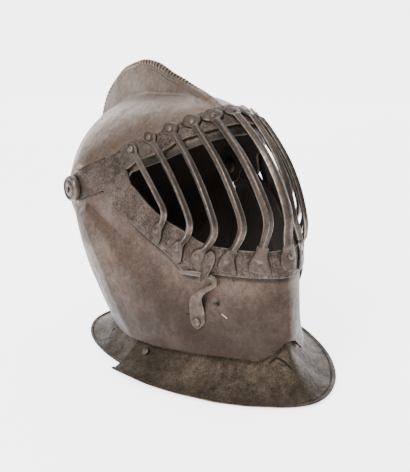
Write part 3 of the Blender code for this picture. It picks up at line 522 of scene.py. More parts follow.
def ramp(tree, value, low, high, to_low=0.0, to_high=1.0):
    """Smooth step of a value between low and high."""
    return node(tree, "MapRange", {"Value": value, "From Min": low, "From Max": high,
                                   "To Min": to_low, "To Max": to_high},
                interpolation_type="SMOOTHSTEP").outputs["Result"]


def blend_colour(tree, factor, first, second, mode="MIX"):
    """Second colour laid over the first by a factor."""
    mix = node(tree, "Mix", data_type="RGBA", blend_type=mode)
    for socket, value in ((mix.inputs[0], factor), (mix.inputs[6], first), (mix.inputs[7], second)):
        feed(tree, socket, value)
    return mix.outputs[2]


def noise(tree, place, size, detail=4.0, rough=0.55, distortion=0.0):
    """Cloudy noise with features of about this size in metres."""
    return node(tree, "TexNoise", {"Vector": place, "Scale": 1.0 / size, "Detail": detail,
                                   "Roughness": rough, "Distortion": distortion}).outputs["Fac"]


def new_group(name, inputs, outputs):
    """Empty node group with named float, colour or vector sockets."""
    tree = bpy.data.node_groups.new(name, "ShaderNodeTree")
    for label, kind in inputs:
        tree.interface.new_socket(label, in_out="INPUT", socket_type="NodeSocket" + kind)
    for label, kind in outputs:
        tree.interface.new_socket(label, in_out="OUTPUT", socket_type="NodeSocket" + kind)
    return tree, tree.nodes.new("NodeGroupInput").outputs, tree.nodes.new("NodeGroupOutput").inputs


def patina_group():
    """Aged colour: broad clouds between two tones, rust-brown stains and a fine grain."""
    tree, given, made = new_group(
        "patina", (("Dark", "Color"), ("Light", "Color"), ("Stain", "Color"), ("Stain Amount", "Float"),
                   ("Grain", "Float")), (("Color", "Color"), ("Cloud", "Float")))
    place = node(tree, "TexCoord").outputs["Object"]
    cloud = noise(tree, place, 0.030, 7.0, 0.66, 0.2)
    stain = noise(tree, node(tree, "Mapping", {"Vector": place, "Location": (0.31, 0.17, 0.53)}).outputs[0],
                  0.020, 8.0, 0.68, 0.6)
    fine = noise(tree, place, 0.0014, 3.0, 0.75)
    speck = noise(tree, place, 0.0050, 6.0, 0.75)
    both = calc(tree, "ADD", calc(tree, "MULTIPLY", cloud, 0.5), calc(tree, "MULTIPLY", speck, 0.5))
    tone = ramp(tree, both, 0.33, 0.67)
    colour = blend_colour(tree, tone, given["Dark"], given["Light"])
    amount = calc(tree, "MULTIPLY", ramp(tree, stain, 0.42, 0.72), given["Stain Amount"])
    colour = blend_colour(tree, amount, colour, given["Stain"])
    grain = calc(tree, "MULTIPLY", calc(tree, "SUBTRACT", fine, 0.5),
                 calc(tree, "MULTIPLY", given["Grain"], 1.6))
    shade = calc(tree, "ADD", 1.0, calc(tree, "MULTIPLY", grain, 2.0))
    bright = node(tree, "CombineColor", {0: shade, 1: shade, 2: shade}).outputs[0]
    colour = blend_colour(tree, 1.0, colour, bright, "MULTIPLY")
    tree.links.new(colour, made["Color"])
    tree.links.new(tone, made["Cloud"])
    return tree


def pitting_group():
    """Corrosion pits: round dips at two sizes, kept only where a cloud allows them."""
    tree, given, made = new_group("pitting", (("Size", "Float"), ("Cover", "Float")),
                                  (("Height", "Float"), ("Pits", "Float")))
    place = node(tree, "TexCoord").outputs["Object"]
    wobble = node(tree, "TexNoise", {"Vector": place, "Scale": 900.0, "Detail": 2.0}).outputs["Color"]
    bent = node(tree, "VectorMath", {0: wobble, 1: (0.0012, 0.0012, 0.0012)}, operation="MULTIPLY").outputs[0]
    place = node(tree, "VectorMath", {0: place, 1: bent}, operation="ADD").outputs[0]
    wide = calc(tree, "DIVIDE", 1.0, given["Size"])
    big = node(tree, "TexVoronoi", {"Vector": place, "Scale": wide, "Randomness": 1.0}).outputs["Distance"]
    small = node(tree, "TexVoronoi", {"Vector": place, "Scale": calc(tree, "MULTIPLY", wide, 2.3),
                                      "Randomness": 1.0}).outputs["Distance"]
    where = noise(tree, place, 0.011, 4.0, 0.6)
    limit = calc(tree, "MULTIPLY", given["Cover"], ramp(tree, where, 0.35, 0.68, 0.35, 1.0))
    deep = ramp(tree, calc(tree, "DIVIDE", big, limit), 0.35, 1.0, 1.0, 0.0)
    shallow = ramp(tree, calc(tree, "DIVIDE", small, limit), 0.35, 1.0, 0.6, 0.0)
    pits = calc(tree, "MAXIMUM", deep, shallow)
    tree.links.new(pits, made["Pits"])
    tree.links.new(calc(tree, "SUBTRACT", 1.0, pits), made["Height"])
    return tree


def edge_group():
    """Rubbed edges and painted highlights on ridges, crests and rims: the mesh's distance from an edge,
    broken up by noise.
    """
    tree, given, made = new_group("edge_wear_and_highlight", (("Width", "Float"),), (("Mask", "Float"),))
    place = node(tree, "TexCoord").outputs["Object"]
    distance = node(tree, "Attribute", attribute_name="edge").outputs["Fac"]
    rough = calc(tree, "MULTIPLY", noise(tree, place, 0.004, 4.0, 0.7), given["Width"])
    reach = calc(tree, "ADD", distance, calc(tree, "MULTIPLY", rough, 1.2))
    share = calc(tree, "DIVIDE", reach, given["Width"])
    tree.links.new(ramp(tree, share, 0.55, 1.25, 1.0, 0.0), made["Mask"])
    return tree


def hammered_group():
    """Height of the worked surface: soft planishing marks under a fine scratchy grain."""
    tree, given, made = new_group("hammered", (("Marks", "Float"), ("Grain", "Float")),
                                  (("Height", "Float"),))
    place = node(tree, "TexCoord").outputs["Object"]
    marks = node(tree, "TexVoronoi", {"Vector": place, "Scale": 95.0, "Smoothness": 0.8},
                 feature="SMOOTH_F1").outputs["Distance"]
    grain = noise(tree, place, 0.0011, 4.0, 0.75)
    swell = noise(tree, place, 0.0085, 4.0, 0.6)
    height = calc(tree, "ADD", calc(tree, "MULTIPLY", marks, given["Marks"]),
                  calc(tree, "MULTIPLY", grain, given["Grain"]))
    height = calc(tree, "ADD", height,
                  calc(tree, "MULTIPLY", swell, calc(tree, "MULTIPLY", given["Grain"], 2.0)))
    tree.links.new(height, made["Height"])
    return tree


def mark_group():
    """Mask of a straight mark: distance from the segment between two ends, with a
    ragged edge."""
    tree, given, made = new_group("mark", (("Start", "Vector"), ("End", "Vector"), ("Width", "Float")),
                                  (("Mask", "Float"),))
    place = node(tree, "TexCoord").outputs["Object"]
    from_start = node(tree, "VectorMath", {0: place, 1: given["Start"]}, operation="SUBTRACT").outputs[0]
    along = node(tree, "VectorMath", {0: given["End"], 1: given["Start"]}, operation="SUBTRACT").outputs[0]
    reach = node(tree, "VectorMath", {0: from_start, 1: along}, operation="DOT_PRODUCT").outputs["Value"]
    whole = node(tree, "VectorMath", {0: along, 1: along}, operation="DOT_PRODUCT").outputs["Value"]
    share = calc(tree, "DIVIDE", reach, calc(tree, "ADD", whole, 1e-9), clamp=True)
    foot = node(tree, "VectorMath", {0: along, "Scale": share}, operation="SCALE").outputs[0]
    away = node(tree, "VectorMath", {0: from_start, 1: foot}, operation="SUBTRACT").outputs[0]
    distance = node(tree, "VectorMath", {0: away}, operation="LENGTH").outputs["Value"]
    ragged = calc(tree, "ADD", calc(tree, "MULTIPLY", noise(tree, place, 0.0012, 3.0, 0.7), 0.9), 0.55)
    share = calc(tree, "DIVIDE", distance, calc(tree, "MULTIPLY", given["Width"], ragged))
    tree.links.new(ramp(tree, share, 0.5, 1.0, 1.0, 0.0), made["Mask"])
    return tree


def grooves_group():
    """Painted shade in recesses, under parts and along contact lines, and rust round holes:
    the mesh's darkening, ragged at its edge, and a line cut below the comb's crest."""
    tree, _, made = new_group("grooves", (), (("Shade and Rust", "Float"), ("Line", "Float")))
    place = node(tree, "TexCoord").outputs["Object"]
    shade_and_rust = node(tree, "Attribute", attribute_name="shade_and_rust").outputs["Fac"]
    crest = node(tree, "Attribute", attribute_name="crest").outputs["Fac"]
    ragged = calc(tree, "SUBTRACT", noise(tree, place, 0.0022, 4.0, 0.7), 0.5)
    tree.links.new(ramp(tree, calc(tree, "ADD", shade_and_rust, calc(tree, "MULTIPLY", ragged, 0.6)), 0.15, 0.95),
                   made["Shade and Rust"])
    away = calc(tree, "ABSOLUTE", calc(tree, "SUBTRACT", crest, LINE_DEPTH))
    tree.links.new(ramp(tree, away, 0.0002, 0.0008, 1.0, 0.0), made["Line"])
    return tree


GROUPS = {"patina": patina_group(), "pitting": pitting_group(), "edge": edge_group(),
          "hammered": hammered_group(), "mark": mark_group(), "grooves": grooves_group()}


def add_group(tree, name, values):
    """Outputs of one of the shared groups, with these inputs."""
    item = tree.nodes.new("ShaderNodeGroup")
    item.node_tree = GROUPS[name]
    for key, value in values.items():
        feed(tree, item.inputs[key], value)
    return item.outputs


def aged_steel(name, tones, stain_amount, rough, pits, worked, colour_grain=0.25,
               edge_colour=(0.30, 0.25, 0.21), edge_gain=0.22, low_dark=None, depth=0.0006,
               cracks=(), scratches=()):
    """Steel finish of one family of pieces, from the shared groups. tones are the dark,
    the light and the stain colour, rough the roughness of rubbed and of dull places,
    pits their size, cover and depth, worked the planishing marks and the grain."""
    dark, light, stain = tones
    pit_size, pit_cover, pit_depth = pits
    marks, grain = worked
    material = bpy.data.materials.new("aged_" + name)
    material.use_nodes = True
    tree = material.node_tree
    shader = tree.nodes["Principled BSDF"]
    patina = add_group(tree, "patina", {"Dark": (*dark, 1.0), "Light": (*light, 1.0),
                                        "Stain": (*stain, 1.0), "Stain Amount": stain_amount,
                                        "Grain": colour_grain})
    pits = add_group(tree, "pitting", {"Size": pit_size, "Cover": pit_cover})
    edge = add_group(tree, "edge", {"Width": EDGE_WIDTH})
    worked = add_group(tree, "hammered", {"Marks": marks, "Grain": grain})
    deep = tuple(0.30 * value for value in dark)
    colour = blend_colour(tree, calc(tree, "MULTIPLY", pits["Pits"], 0.62), patina["Color"], (*deep, 1.0))
    if low_dark:
        # Darker towards the bottom: below a given height the colour darkens by up to the given share
        low, high, share = low_dark
        place = node(tree, "TexCoord").outputs["Object"]
        height = node(tree, "SeparateXYZ", {0: place}).outputs["Z"]
        drift = calc(tree, "MULTIPLY", calc(tree, "SUBTRACT", noise(tree, place, 0.03), 0.5), high - low)
        lower_darkening = ramp(tree, calc(tree, "ADD", height, drift), low, high, share, 0.0)
        colour = blend_colour(tree, lower_darkening, colour, (*(0.45 * value for value in dark), 1.0))
    grooves = add_group(tree, "grooves", {})
    clear_of_shade_and_rust = calc(tree, "SUBTRACT", 1.0, grooves["Shade and Rust"])
    # Lighter colour near edges: rubbed wear on plate edges and painted highlight on ridges, crests and rims,
    # kept out of painted shade and rust
    worn = calc(tree, "MULTIPLY", calc(tree, "MULTIPLY", edge["Mask"], edge_gain), clear_of_shade_and_rust)
    colour = blend_colour(tree, worn, colour, (*edge_colour, 1.0))
    for first, last in scratches:
        mark = add_group(tree, "mark", {"Start": first, "End": last, "Width": SCRATCH_WIDTH})
        colour = blend_colour(tree, mark["Mask"], colour, (0.30, 0.24, 0.19, 1.0))
    # Near black for painted shade in recesses, under parts and along contact lines, for rust round holes, the
    # comb's cut line and cracks
    dark_part = calc(tree, "MAXIMUM", grooves["Shade and Rust"], calc(tree, "MULTIPLY", grooves["Line"], 0.55))
    for first, last in cracks:
        mark = add_group(tree, "mark", {"Start": first, "End": last, "Width": CRACK_WIDTH})
        dark_part = calc(tree, "MAXIMUM", dark_part, mark["Mask"])
    colour = blend_colour(tree, calc(tree, "MULTIPLY", dark_part, 0.93), colour, SHADE_AND_RUST_BLACK)
    tree.links.new(colour, shader.inputs["Base Color"])
    shader.inputs["Metallic"].default_value = METALLIC
    polish = calc(tree, "SUBTRACT", patina["Cloud"], calc(tree, "MULTIPLY", pits["Pits"], 0.8))
    polish = calc(tree, "ADD", polish, calc(tree, "MULTIPLY", worn, 0.6))
    tree.links.new(ramp(tree, polish, 0.0, 1.0, rough[1], rough[0]), shader.inputs["Roughness"])
    height = calc(tree, "ADD", calc(tree, "MULTIPLY", pits["Height"], pit_depth), worked["Height"])
    height = calc(tree, "SUBTRACT", height, calc(tree, "MULTIPLY", dark_part, 0.8))
    bump = node(tree, "Bump", {"Strength": 1.0, "Distance": depth, "Height": height})
    tree.links.new(bump.outputs[0], shader.inputs["Normal"])
    return material


def inner_steel():
    """Inside of the plates: rough, and nearly black as painted shade."""
    material = bpy.data.materials.new("painted_shade_inside")
    material.use_nodes = True
    tree = material.node_tree
    shader = tree.nodes["Principled BSDF"]
    place = node(tree, "TexCoord").outputs["Object"]
    # Painted shade: two near-black tones for the inside faces
    inner_shade = blend_colour(tree, noise(tree, place, 0.012, 5.0, 0.6), (0.012, 0.009, 0.007, 1.0),
                        (0.030, 0.022, 0.016, 1.0))
    tree.links.new(inner_shade, shader.inputs["Base Color"])
    shader.inputs["Roughness"].default_value = 0.9
    shader.inputs["Specular IOR Level"].default_value = 0.15
    return material


def pairs(run):
    """Neighbouring points of a line, as its pieces."""
    return tuple(zip(run[:-1], run[1:]))


FINISH = {
    "inside": inner_steel(),
    "skull": aged_steel("skull", ((0.078, 0.053, 0.037), (0.158, 0.121, 0.094), (0.105, 0.060, 0.032)),
                        0.60, (0.40, 0.56), (0.0030, 0.14, 0.35), (0.20, 0.22), 0.40,
                        (0.26, 0.21, 0.17), 0.30),
    "bevor": aged_steel("bevor", ((0.036, 0.023, 0.016), (0.086, 0.061, 0.046), (0.062, 0.033, 0.018)),
                        0.60, (0.42, 0.60), (0.0028, 0.16, 0.35), (0.22, 0.24), 0.40,
                        (0.22, 0.17, 0.14), 0.35, low_dark=(0.040, 0.110, 0.70),
                        cracks=tuple((place, place) for place, _ in BEVOR_PITS),
                        scratches=(SCRATCH,)),
    "gorget": aged_steel("gorget", ((0.021, 0.015, 0.009), (0.072, 0.054, 0.036), (0.048, 0.029, 0.015)),
                         0.45, (0.55, 0.74), (0.0020, 0.34, 0.60), (0.20, 0.44), 0.85,
                         (0.26, 0.22, 0.18),
                         cracks=pairs(REAR_CRACK) + pairs(CRACK_BRANCH) + pairs(FRONT_TEAR)),
    "visor": aged_steel("visor", ((0.022, 0.015, 0.011), (0.102, 0.080, 0.065), (0.056, 0.032, 0.019)),
                        0.50, (0.48, 0.70), (0.0022, 0.50, 0.95), (0.25, 0.38), 0.80,
                        (0.24, 0.20, 0.16), 0.45),
    "bars": aged_steel("bars", ((0.026, 0.018, 0.014), (0.078, 0.060, 0.048), (0.055, 0.032, 0.020)),
                       0.35, (0.34, 0.56), (0.0020, 0.26, 0.45), (0.10, 0.26), 0.40,
                       (0.34, 0.29, 0.25), 0.42, depth=0.0004),
    "rivets": aged_steel("rivets", ((0.040, 0.029, 0.022), (0.135, 0.108, 0.088), (0.075, 0.045, 0.028)),
                         0.35, (0.36, 0.56), (0.0016, 0.24, 0.40), (0.10, 0.26), depth=0.0004),
    "catch": aged_steel("catch", ((0.042, 0.031, 0.024), (0.118, 0.094, 0.077), (0.070, 0.043, 0.027)),
                        0.35, (0.38, 0.60), (0.0018, 0.22, 0.40), (0.10, 0.24),
                        edge_colour=(0.36, 0.32, 0.28), depth=0.0004),
}


def make_skull():
    """Bowl with its comb: fin rows follow the comb's wall at even heights."""
    level = 1.0 - np.linspace(0.0, 1.0, 15)
    share = 0.5 - np.sin(np.arcsin(1.0 - 2.0 * level) / 3.0)
    fin = np.concatenate([COMB_HALF_THICK * (0.5 + 0.9 * share), [0.0013, 0.0]])
    plain = np.linspace(0.0, 1.0, 46)[1:-1]
    grid, keep, columns = from_pivot_to_pivot((BROW_EDGE, NAPE_ANGLE, CHEEK_SEAM), (170, 18, 26),
                                              plain, 0.0, COMB_SHARE, fin)
    near = plate_edge(grid, columns)
    ahead, up = PIVOT[1] - grid[..., 1], grid[..., 2] - PIVOT[2]
    angle = np.degrees(np.arctan2(up, ahead)) % 360.0
    top = form_row(angle)[0] + COMB_SHARE * COMB_HEIGHT * table(COMB, angle)
    lined = (angle > 44.0) & (angle < 168.0) & (np.abs(grid[..., 0]) < 0.02)
    crest = np.where(lined, top - np.hypot(ahead, up), 1.0)
    # Painted shade on the brow edge seen through the window, with the painted contact shadow along the
    # frame's outline
    brow = ease((0.01 - grid[..., 1]) / 0.03) * (up > 0.02)
    shade_and_rust = np.maximum(0.85 * brow * (1.0 - ease((near - 0.003) / 0.010)), under_frame(grid))
    piece("skull_bowl", grid, grid_quads(grid.shape[:2], keep), "shell", "skull", ("skull",), near,
          WALL, EDGE_ROUND, shade_and_rust=shade_and_rust, crest=crest)


def make_comb_rope():
    """Twisted rope along the comb: radius = r * (1 - d * w * (1 - |cos(0.35 a + pi s / pitch)|)^1.8),
    where a goes round the rope, s along it and w is small where the top is worn smooth."""
    angle = np.linspace(36.0, 187.0, 1100)
    radius = ROPE_RADIUS * ease((angle - 35.0) / 12.0) ** 0.5 * ease((190.0 - angle) / 16.0) ** 0.5
    out = form_row(angle)[0] + COMB_HEIGHT * table(COMB, angle) - radius - 0.0002
    turn = np.radians(angle)
    middle = np.stack([np.zeros_like(out), PIVOT[1] - out * np.cos(turn), PIVOT[2] + out * np.sin(turn)], 1)
    tangent = np.gradient(middle, axis=0)
    tangent /= np.linalg.norm(tangent, axis=1, keepdims=True)
    across = np.broadcast_to(np.array((1.0, 0.0, 0.0)), middle.shape)
    outward = np.cross(tangent, across)
    outward *= np.sign((outward * (middle - PIVOT)).sum(1, keepdims=True))
    along = np.concatenate([[0.0], np.cumsum(np.linalg.norm(np.diff(middle, axis=0), axis=1))])
    round_turn = np.linspace(0, 2 * np.pi, 28, endpoint=False)
    worn = 0.15 + 0.85 * ease(np.abs(angle - 122.0) / 14.0 - 0.6)
    strand = np.abs(np.cos(0.35 * round_turn + np.pi * along[:, None] / ROPE_PITCH))
    notch = worn[:, None] * (1.0 - strand) ** 1.8
    size = radius[:, None] * (1.0 - ROPE_NOTCH * notch)
    section = np.stack([size * np.cos(round_turn), size * np.sin(round_turn)], -1)
    grid = sweep(middle, across, outward, section)
    # Painted highlight on the tops of the strands through the edge mask; painted shade in the notches between
    # them
    near = 0.0004 + 0.003 * (1.0 - strand)
    piece("comb_rope", grid, tube_faces(grid.shape), "shell", "skull", (), near, closed=True,
          shade_and_rust=np.clip(1.25 * notch, 0.0, 1.0))


def make_bevor():
    """Lower face from the seam behind the cheek to its upper edge, with one open hole."""
    plain = 1.0 - (1.0 - np.linspace(0.0, 1.0, 66)[1:]) ** 1.25
    grid, keep, columns = from_pivot_to_pivot((CHEEK_SEAM + SEAM_GAP - 360.0, KEEL_FOOT - 360.0, BEVOR_TOP),
                                              (90, 34, 34), plain, BEVOR_TOP_HEIGHT)
    # Rust round the open hole, and the painted contact shadow along the frame's outline
    shade_and_rust = np.maximum(pierce(grid, keep, BEVOR_HOLES), under_frame(grid))
    # A painted highlight along the keel, through the edge mask
    near = np.minimum(plate_edge(grid, columns), np.abs(grid[..., 0]) + 0.0003)
    piece("bevor_plate", grid, grid_quads(grid.shape[:2], keep), "chin", "bevor", ("bevor",), near,
          WALL, EDGE_ROUND, shade_and_rust=shade_and_rust)


def frame_floor(latitude):
    """The frame lies on the bevor in front and climbs onto the arms behind."""
    near = np.minimum(latitude, 180.0 - latitude)
    return FRAME_FLOOR + (WALL + LAYER_GAP) * (1.0 - ease((near - 35.0) / 7.0))


def frame_edges():
    """Latitudes along the visor frame and its lower and upper outline; its rear end
    is half of a superellipse: opening = sqrt(1 - (1 - share)^2.2)."""
    rear = NOSE_LATITUDE + 2.4 * (1.0 - np.cos(np.linspace(0, 0.5 * np.pi, 14)[:-1]))
    near = np.concatenate([rear, np.linspace(NOSE_LATITUDE + 2.4, WINDOW_START, 24)[:-1],
                           np.linspace(WINDOW_START, 50.0, 26)[:-1], np.linspace(50.0, 90.0, 76)])
    latitude = np.concatenate([near, 180.0 - near[-2::-1]])
    near = np.minimum(latitude, 180.0 - latitude)
    low, high = table(FRAME_LOW, near), table(FRAME_TOP, near)
    from_end = np.clip((near - NOSE_LATITUDE + 0.02) / NOSE_RUN, 0.0, 1.0)
    middle = 0.5 * (low + high) + NOSE_RISE * (1.0 - from_end) ** 2
    end = np.sqrt(np.clip(1.0 - (1.0 - from_end) ** 2.2, 0.0, 1.0))
    return latitude, near, middle + (low - middle) * end, middle + (high - middle) * end


def under_frame(grid):
    """Painted contact shadow along the frame's outline, on the plate below it: from the
    distance to the nearest point of the outline."""
    latitude, _, low, high = frame_edges()
    line = form_point(np.concatenate([low, high]), np.concatenate([latitude, latitude]))
    nearest = np.full(grid.shape[:2], 1.0)
    for row in range(len(grid)):
        gaps = np.linalg.norm(grid[row][:, None] - line[None], axis=-1)
        nearest[row] = gaps.min(1)
    return FRAME_SHADOW * (1.0 - ease((nearest - FRAME_SHADOW_FROM) / FRAME_SHADOW_RUN))


def make_visor_frame():
    """Band between its lower and upper outline, with the window's two outlines as
    rows of the same grid."""
    latitude, near, low, high = frame_edges()
    behind = near < WINDOW_START - 1e-6
    sill = np.where(behind, low + (high - low) * 0.45, table(WINDOW_LOW, near))
    lintel = np.where(behind, low + (high - low) * 0.55, table(WINDOW_TOP, near))
    share = np.linspace(0.0, 1.0, 13)
    bands = [low + (sill - low) * share[:, None], sill + (lintel - sill) * share[1:, None],
             lintel + (high - lintel) * share[1:, None]]
    angle = np.concatenate(bands)
    wide = np.broadcast_to(latitude, angle.shape)
    grid = layer_point(angle, wide, frame_floor(wide) + WALL)
    keep = np.ones((36, len(latitude) - 1), bool)
    hole = np.minimum(latitude[:-1], 180.0 - latitude[1:]) >= WINDOW_START - 1e-6
    keep[12:24, hole] = False
    distance = edge_distance(grid)
    for rows in (slice(0, 13), slice(24, 37)):
        band = edge_distance(grid[rows])
        distance[rows] = np.where(behind, distance[rows], band)
    piece("visor_frame_plate", grid, grid_quads(grid.shape[:2], keep), "visor", "visor",
          ("visor_frame",), distance, WALL, 0.00045)


def make_visor_arm(name, side):
    """Strip with a round end about the pivot, drawn in the plane of the side and
    laid on the form at the arms' height."""
    half_width, length, rise = 0.0125, 0.0470, math.radians(25.0)
    turn = np.linspace(0.02, 0.5 * np.pi, 14)
    ahead = np.concatenate([-half_width * np.cos(turn), length * np.linspace(0.0, 1.0, 34)[1:]])
    width = np.concatenate([half_width * np.sin(turn),
                            half_width * (1 + 0.12 * np.linspace(0.0, 1.0, 34)[1:])])
    across = np.linspace(-1.0, 1.0, 17)
    forward = np.broadcast_to(ahead[:, None], (len(ahead), 17))
    sideways = width[:, None] * across
    x = forward * math.cos(rise) - sideways * math.sin(rise)
    y = forward * math.sin(rise) + sideways * math.cos(rise)
    angle = np.degrees(np.arctan2(y, x))
    latitude = latitude_at(np.maximum(np.hypot(x, y), 1e-5), angle)
    grid = layer_point(angle, latitude, FRAME_TOP_HEIGHT)
    if side > 0:
        grid = grid * MIRROR
    # Painted contact shadow along the frame's outline, and a painted dark line of shade along the strip's own
    # edges
    shade_and_rust = np.maximum(under_frame(grid), 0.7 * (1.0 - ease((edge_distance(grid) - 0.0003) / 0.0012)))
    piece(name + "_strip", grid, grid_quads(grid.shape[:2]), "visor", "visor", (name,),
          edge_distance(grid), WALL, EDGE_ROUND, shade_and_rust=shade_and_rust)


def make_pivot_disc(name, side):
    """Turned disc with a rubbed rim, a sunk ring and a pierced middle."""
    seat = HALF_WIDTH - BOSS_INSET + FRAME_TOP_HEIGHT + SEAT_GAP
    inside = HALF_WIDTH - BOSS_INSET - WALL - SEAT_GAP
    radius, thick = 0.0124, 0.0075
    profile = np.array((
        (inside - 0.0016, 0.0006), (inside - 0.0016, 0.0060), (inside - 0.0005, 0.0074),
        (inside, 0.0072), (inside, 0.0040), (seat, 0.0040), (seat, 0.92 * radius),
        (seat + 0.10 * thick, 0.99 * radius), (seat + 0.30 * thick, radius),
        (seat + 0.62 * thick, 0.99 * radius), (seat + 0.80 * thick, 0.94 * radius),
        (seat + 0.90 * thick, 0.86 * radius), (seat + 0.90 * thick, 0.78 * radius),
        (seat + 0.80 * thick, 0.70 * radius), (seat + 0.82 * thick, 0.60 * radius),
        (seat + 0.96 * thick, 0.46 * radius), (seat + thick, 0.34 * radius),
        (seat + 0.96 * thick, 0.24 * radius), (seat + 0.72 * thick, 0.17 * radius),
        (seat + 0.45 * thick, 0.13 * radius), (seat + 0.40 * thick, 0.02 * radius)))
    grid = lathe(profile, (0.0, PIVOT[1], PIVOT[2]), (side, 0.0, 0.0), 56)
    near = np.full(grid.shape[:2], 0.004)
    near[7:12] = 0.0006
    near[15:18] = 0.0010
    # Painted shade in the sunk ring, in the pierced middle and at the seat under the disc
    shade_and_rust = np.zeros(grid.shape[:2])
    shade_and_rust[12:15] = 0.75
    shade_and_rust[18:] = 1.0
    shade_and_rust[5:7] = 0.9
    piece(name + "_disc", grid, tube_faces(grid.shape), "shell", "rivets", (name,), near,
          closed=True, shade_and_rust=shade_and_rust)


def bar_path(feet, sway, lengths, bulge):
    """Angle, latitude, rise and share of the run along a bar: an S from the foot to the
    knee, and then latitude = top + sway * (1 - t)^1.7; the shaft bulges off the form."""
    top_latitude, top_angle, low_latitude, low_angle = feet
    radius, round_out, _ = form_row(np.array((low_angle, top_angle)))
    sine = np.sin(np.radians(np.array((low_latitude, top_latitude))))
    degrees = np.degrees(np.array(lengths) / (radius * sine ** (2.0 / round_out)))
    angle = np.linspace(low_angle - degrees[0], top_angle + degrees[1], 190)
    run = (angle - low_angle) / (top_angle - low_angle)
    share = np.clip((run - KNEE_RUN) / (1.0 - KNEE_RUN), 0.0, 1.0)
    shaft = top_latitude + sway * (1.0 - share) ** 1.7
    latitude = low_latitude + (shaft - low_latitude) * ease((run + 0.03) / KNEE_RUN)
    kernel = np.hanning(17)
    kernel /= kernel.sum()
    latitude = np.convolve(np.pad(latitude, 8, mode="edge"), kernel, mode="valid")
    rise = bulge * np.interp(run, BULGE[:, 0], BULGE[:, 1])
    rise = np.convolve(np.pad(rise, 8, mode="edge"), kernel, mode="valid")
    return angle, latitude, rise, run


def make_bar(name, feet, sway, side, shape, bulge=BAR_BULGE):
    """Forged bar: width = fourth-power mean of a shaft and two paddles along the
    length; section height = thick * (side + (1 - side) * (1 - |a|^k)), ridged on
    the shaft (small k) and nearly flat on the paddles (large k)."""
    low_width, low_tip, fan, top_width, top_tip, stud_low, stud_top = shape
    angle, latitude, rise, run = bar_path(feet, sway, (low_tip, top_tip), bulge)
    floor = frame_floor(latitude) + WALL + SEAT_GAP
    path = layer_point(angle, latitude, floor + rise)
    walked = np.concatenate([[0.0], np.cumsum(np.linalg.norm(np.diff(path, axis=0), axis=1))])
    low = walked - low_tip
    high = walked[-1] - top_tip - walked
    leaf = np.where(low < 0, low / low_tip, low / (0.575 * PADDLE_LENGTH))
    leaf = np.clip(1.0 - np.abs(leaf) ** 2.1, 0.0, 1.0)
    corner = np.clip(1.0 - (np.clip(-low / low_tip - 0.82, 0.0, 1.0) / 0.18) ** 2, 0.0, 1.0) ** 0.5
    tail = (0.45 + 0.55 * ease((0.0110 - low) / 0.018)) * corner * (low < 0.013)
    low_part = low_width * (fan * tail + (1.0 - fan) * leaf ** 0.75)
    top_leaf = np.where(high < 0, high / top_tip, high / (0.55 * TOP_LENGTH))
    top_leaf = np.clip(1.0 - np.abs(top_leaf) ** 2.1, 0.0, 1.0)
    top_part = top_width * top_leaf ** 0.75
    shaft = BAR_WIDTH * ease((low + 0.2 * low_tip) / 0.006) * ease((high + 0.2 * top_tip) / 0.006)
    width = (shaft ** 4 + low_part ** 4 + top_part ** 4) ** 0.25 + 1e-5
    flat = ease(1.0 - np.minimum(low - 0.0065, high - 0.0045) / 0.006)
    thick = BAR_THICK + (PADDLE_THICK - BAR_THICK) * flat
    thick = thick * np.minimum(1.0, width / 0.0035)
    sideways = np.sin(np.linspace(-0.5 * np.pi, 0.5 * np.pi, 13))
    power = (1.45 + 3.5 * flat)[:, None]
    crown = 0.30 + 0.70 * (1.0 - np.abs(sideways) ** power)
    under = np.linspace(1.0, -1.0, 5)
    offset = np.concatenate([sideways, under])
    height = np.concatenate([crown, np.zeros((len(run), 5))], 1) * thick[:, None]
    step = 0.5
    over = form_point(angle, latitude + step) - form_point(angle, latitude - step)
    along = form_point(angle + step, latitude) - form_point(angle - step, latitude)
    degree_lat, degree_ang = np.linalg.norm(over, axis=-1), np.linalg.norm(along, axis=-1)
    heading = np.stack([np.gradient(latitude) * degree_lat, np.gradient(angle) * degree_ang], 1)
    heading /= np.linalg.norm(heading, axis=1, keepdims=True)
    heading[:, 0] *= (rise / BAR_BULGE) * 0.6 + 0.4
    half = 0.5 * width
    latitudes = latitude[:, None] + (half * heading[:, 1] / degree_lat)[:, None] * offset
    angles = angle[:, None] - (half * heading[:, 0] / degree_ang)[:, None] * offset
    grid = layer_point(angles, latitudes, (floor + rise)[:, None] + height)
    near = np.concatenate([1.0 - np.abs(sideways), np.full(5, 1.0)]) * half[:, None]
    ridge = np.concatenate([np.abs(sideways), np.full(5, 1.0)]) * half[:, None]
    # The edge mask lights the crest ridge as well as the sides: worn edges and painted highlight
    near = np.minimum(near, ridge + 0.0003 + 0.004 * flat[:, None])
    # Painted shade on the paddles' outer edges where they meet the frame, and on the underside
    outer = ease((np.abs(sideways) - 0.86) / 0.12)
    shade_and_rust = np.concatenate([0.75 * flat[:, None] * outer, np.full((len(run), 5), 0.8)], 1)
    if side > 0:
        grid = grid * MIRROR
    piece(name + "_forged", grid, tube_faces(grid.shape), "visor", "bars", (name,), near,
          closed=True, shade_and_rust=shade_and_rust)
    spots = []
    foot, top = (feet[3], float(np.interp(feet[3], angle, latitude))), (feet[1], feet[0])
    for (place, latitude_here), radius, head in ((foot, 0.0030, stud_low), (top, 0.0027, stud_top)):
        seat = float(frame_floor(np.array(latitude_here))) + WALL + SEAT_GAP + PADDLE_THICK * 0.8
        base = layer_point(place, latitude_here, seat)
        out = layer_point(place, latitude_here, seat + 0.01) - base
        if side > 0:
            base, out = base * MIRROR, out * MIRROR
        spots.append((base, out, radius, head))
    return spots


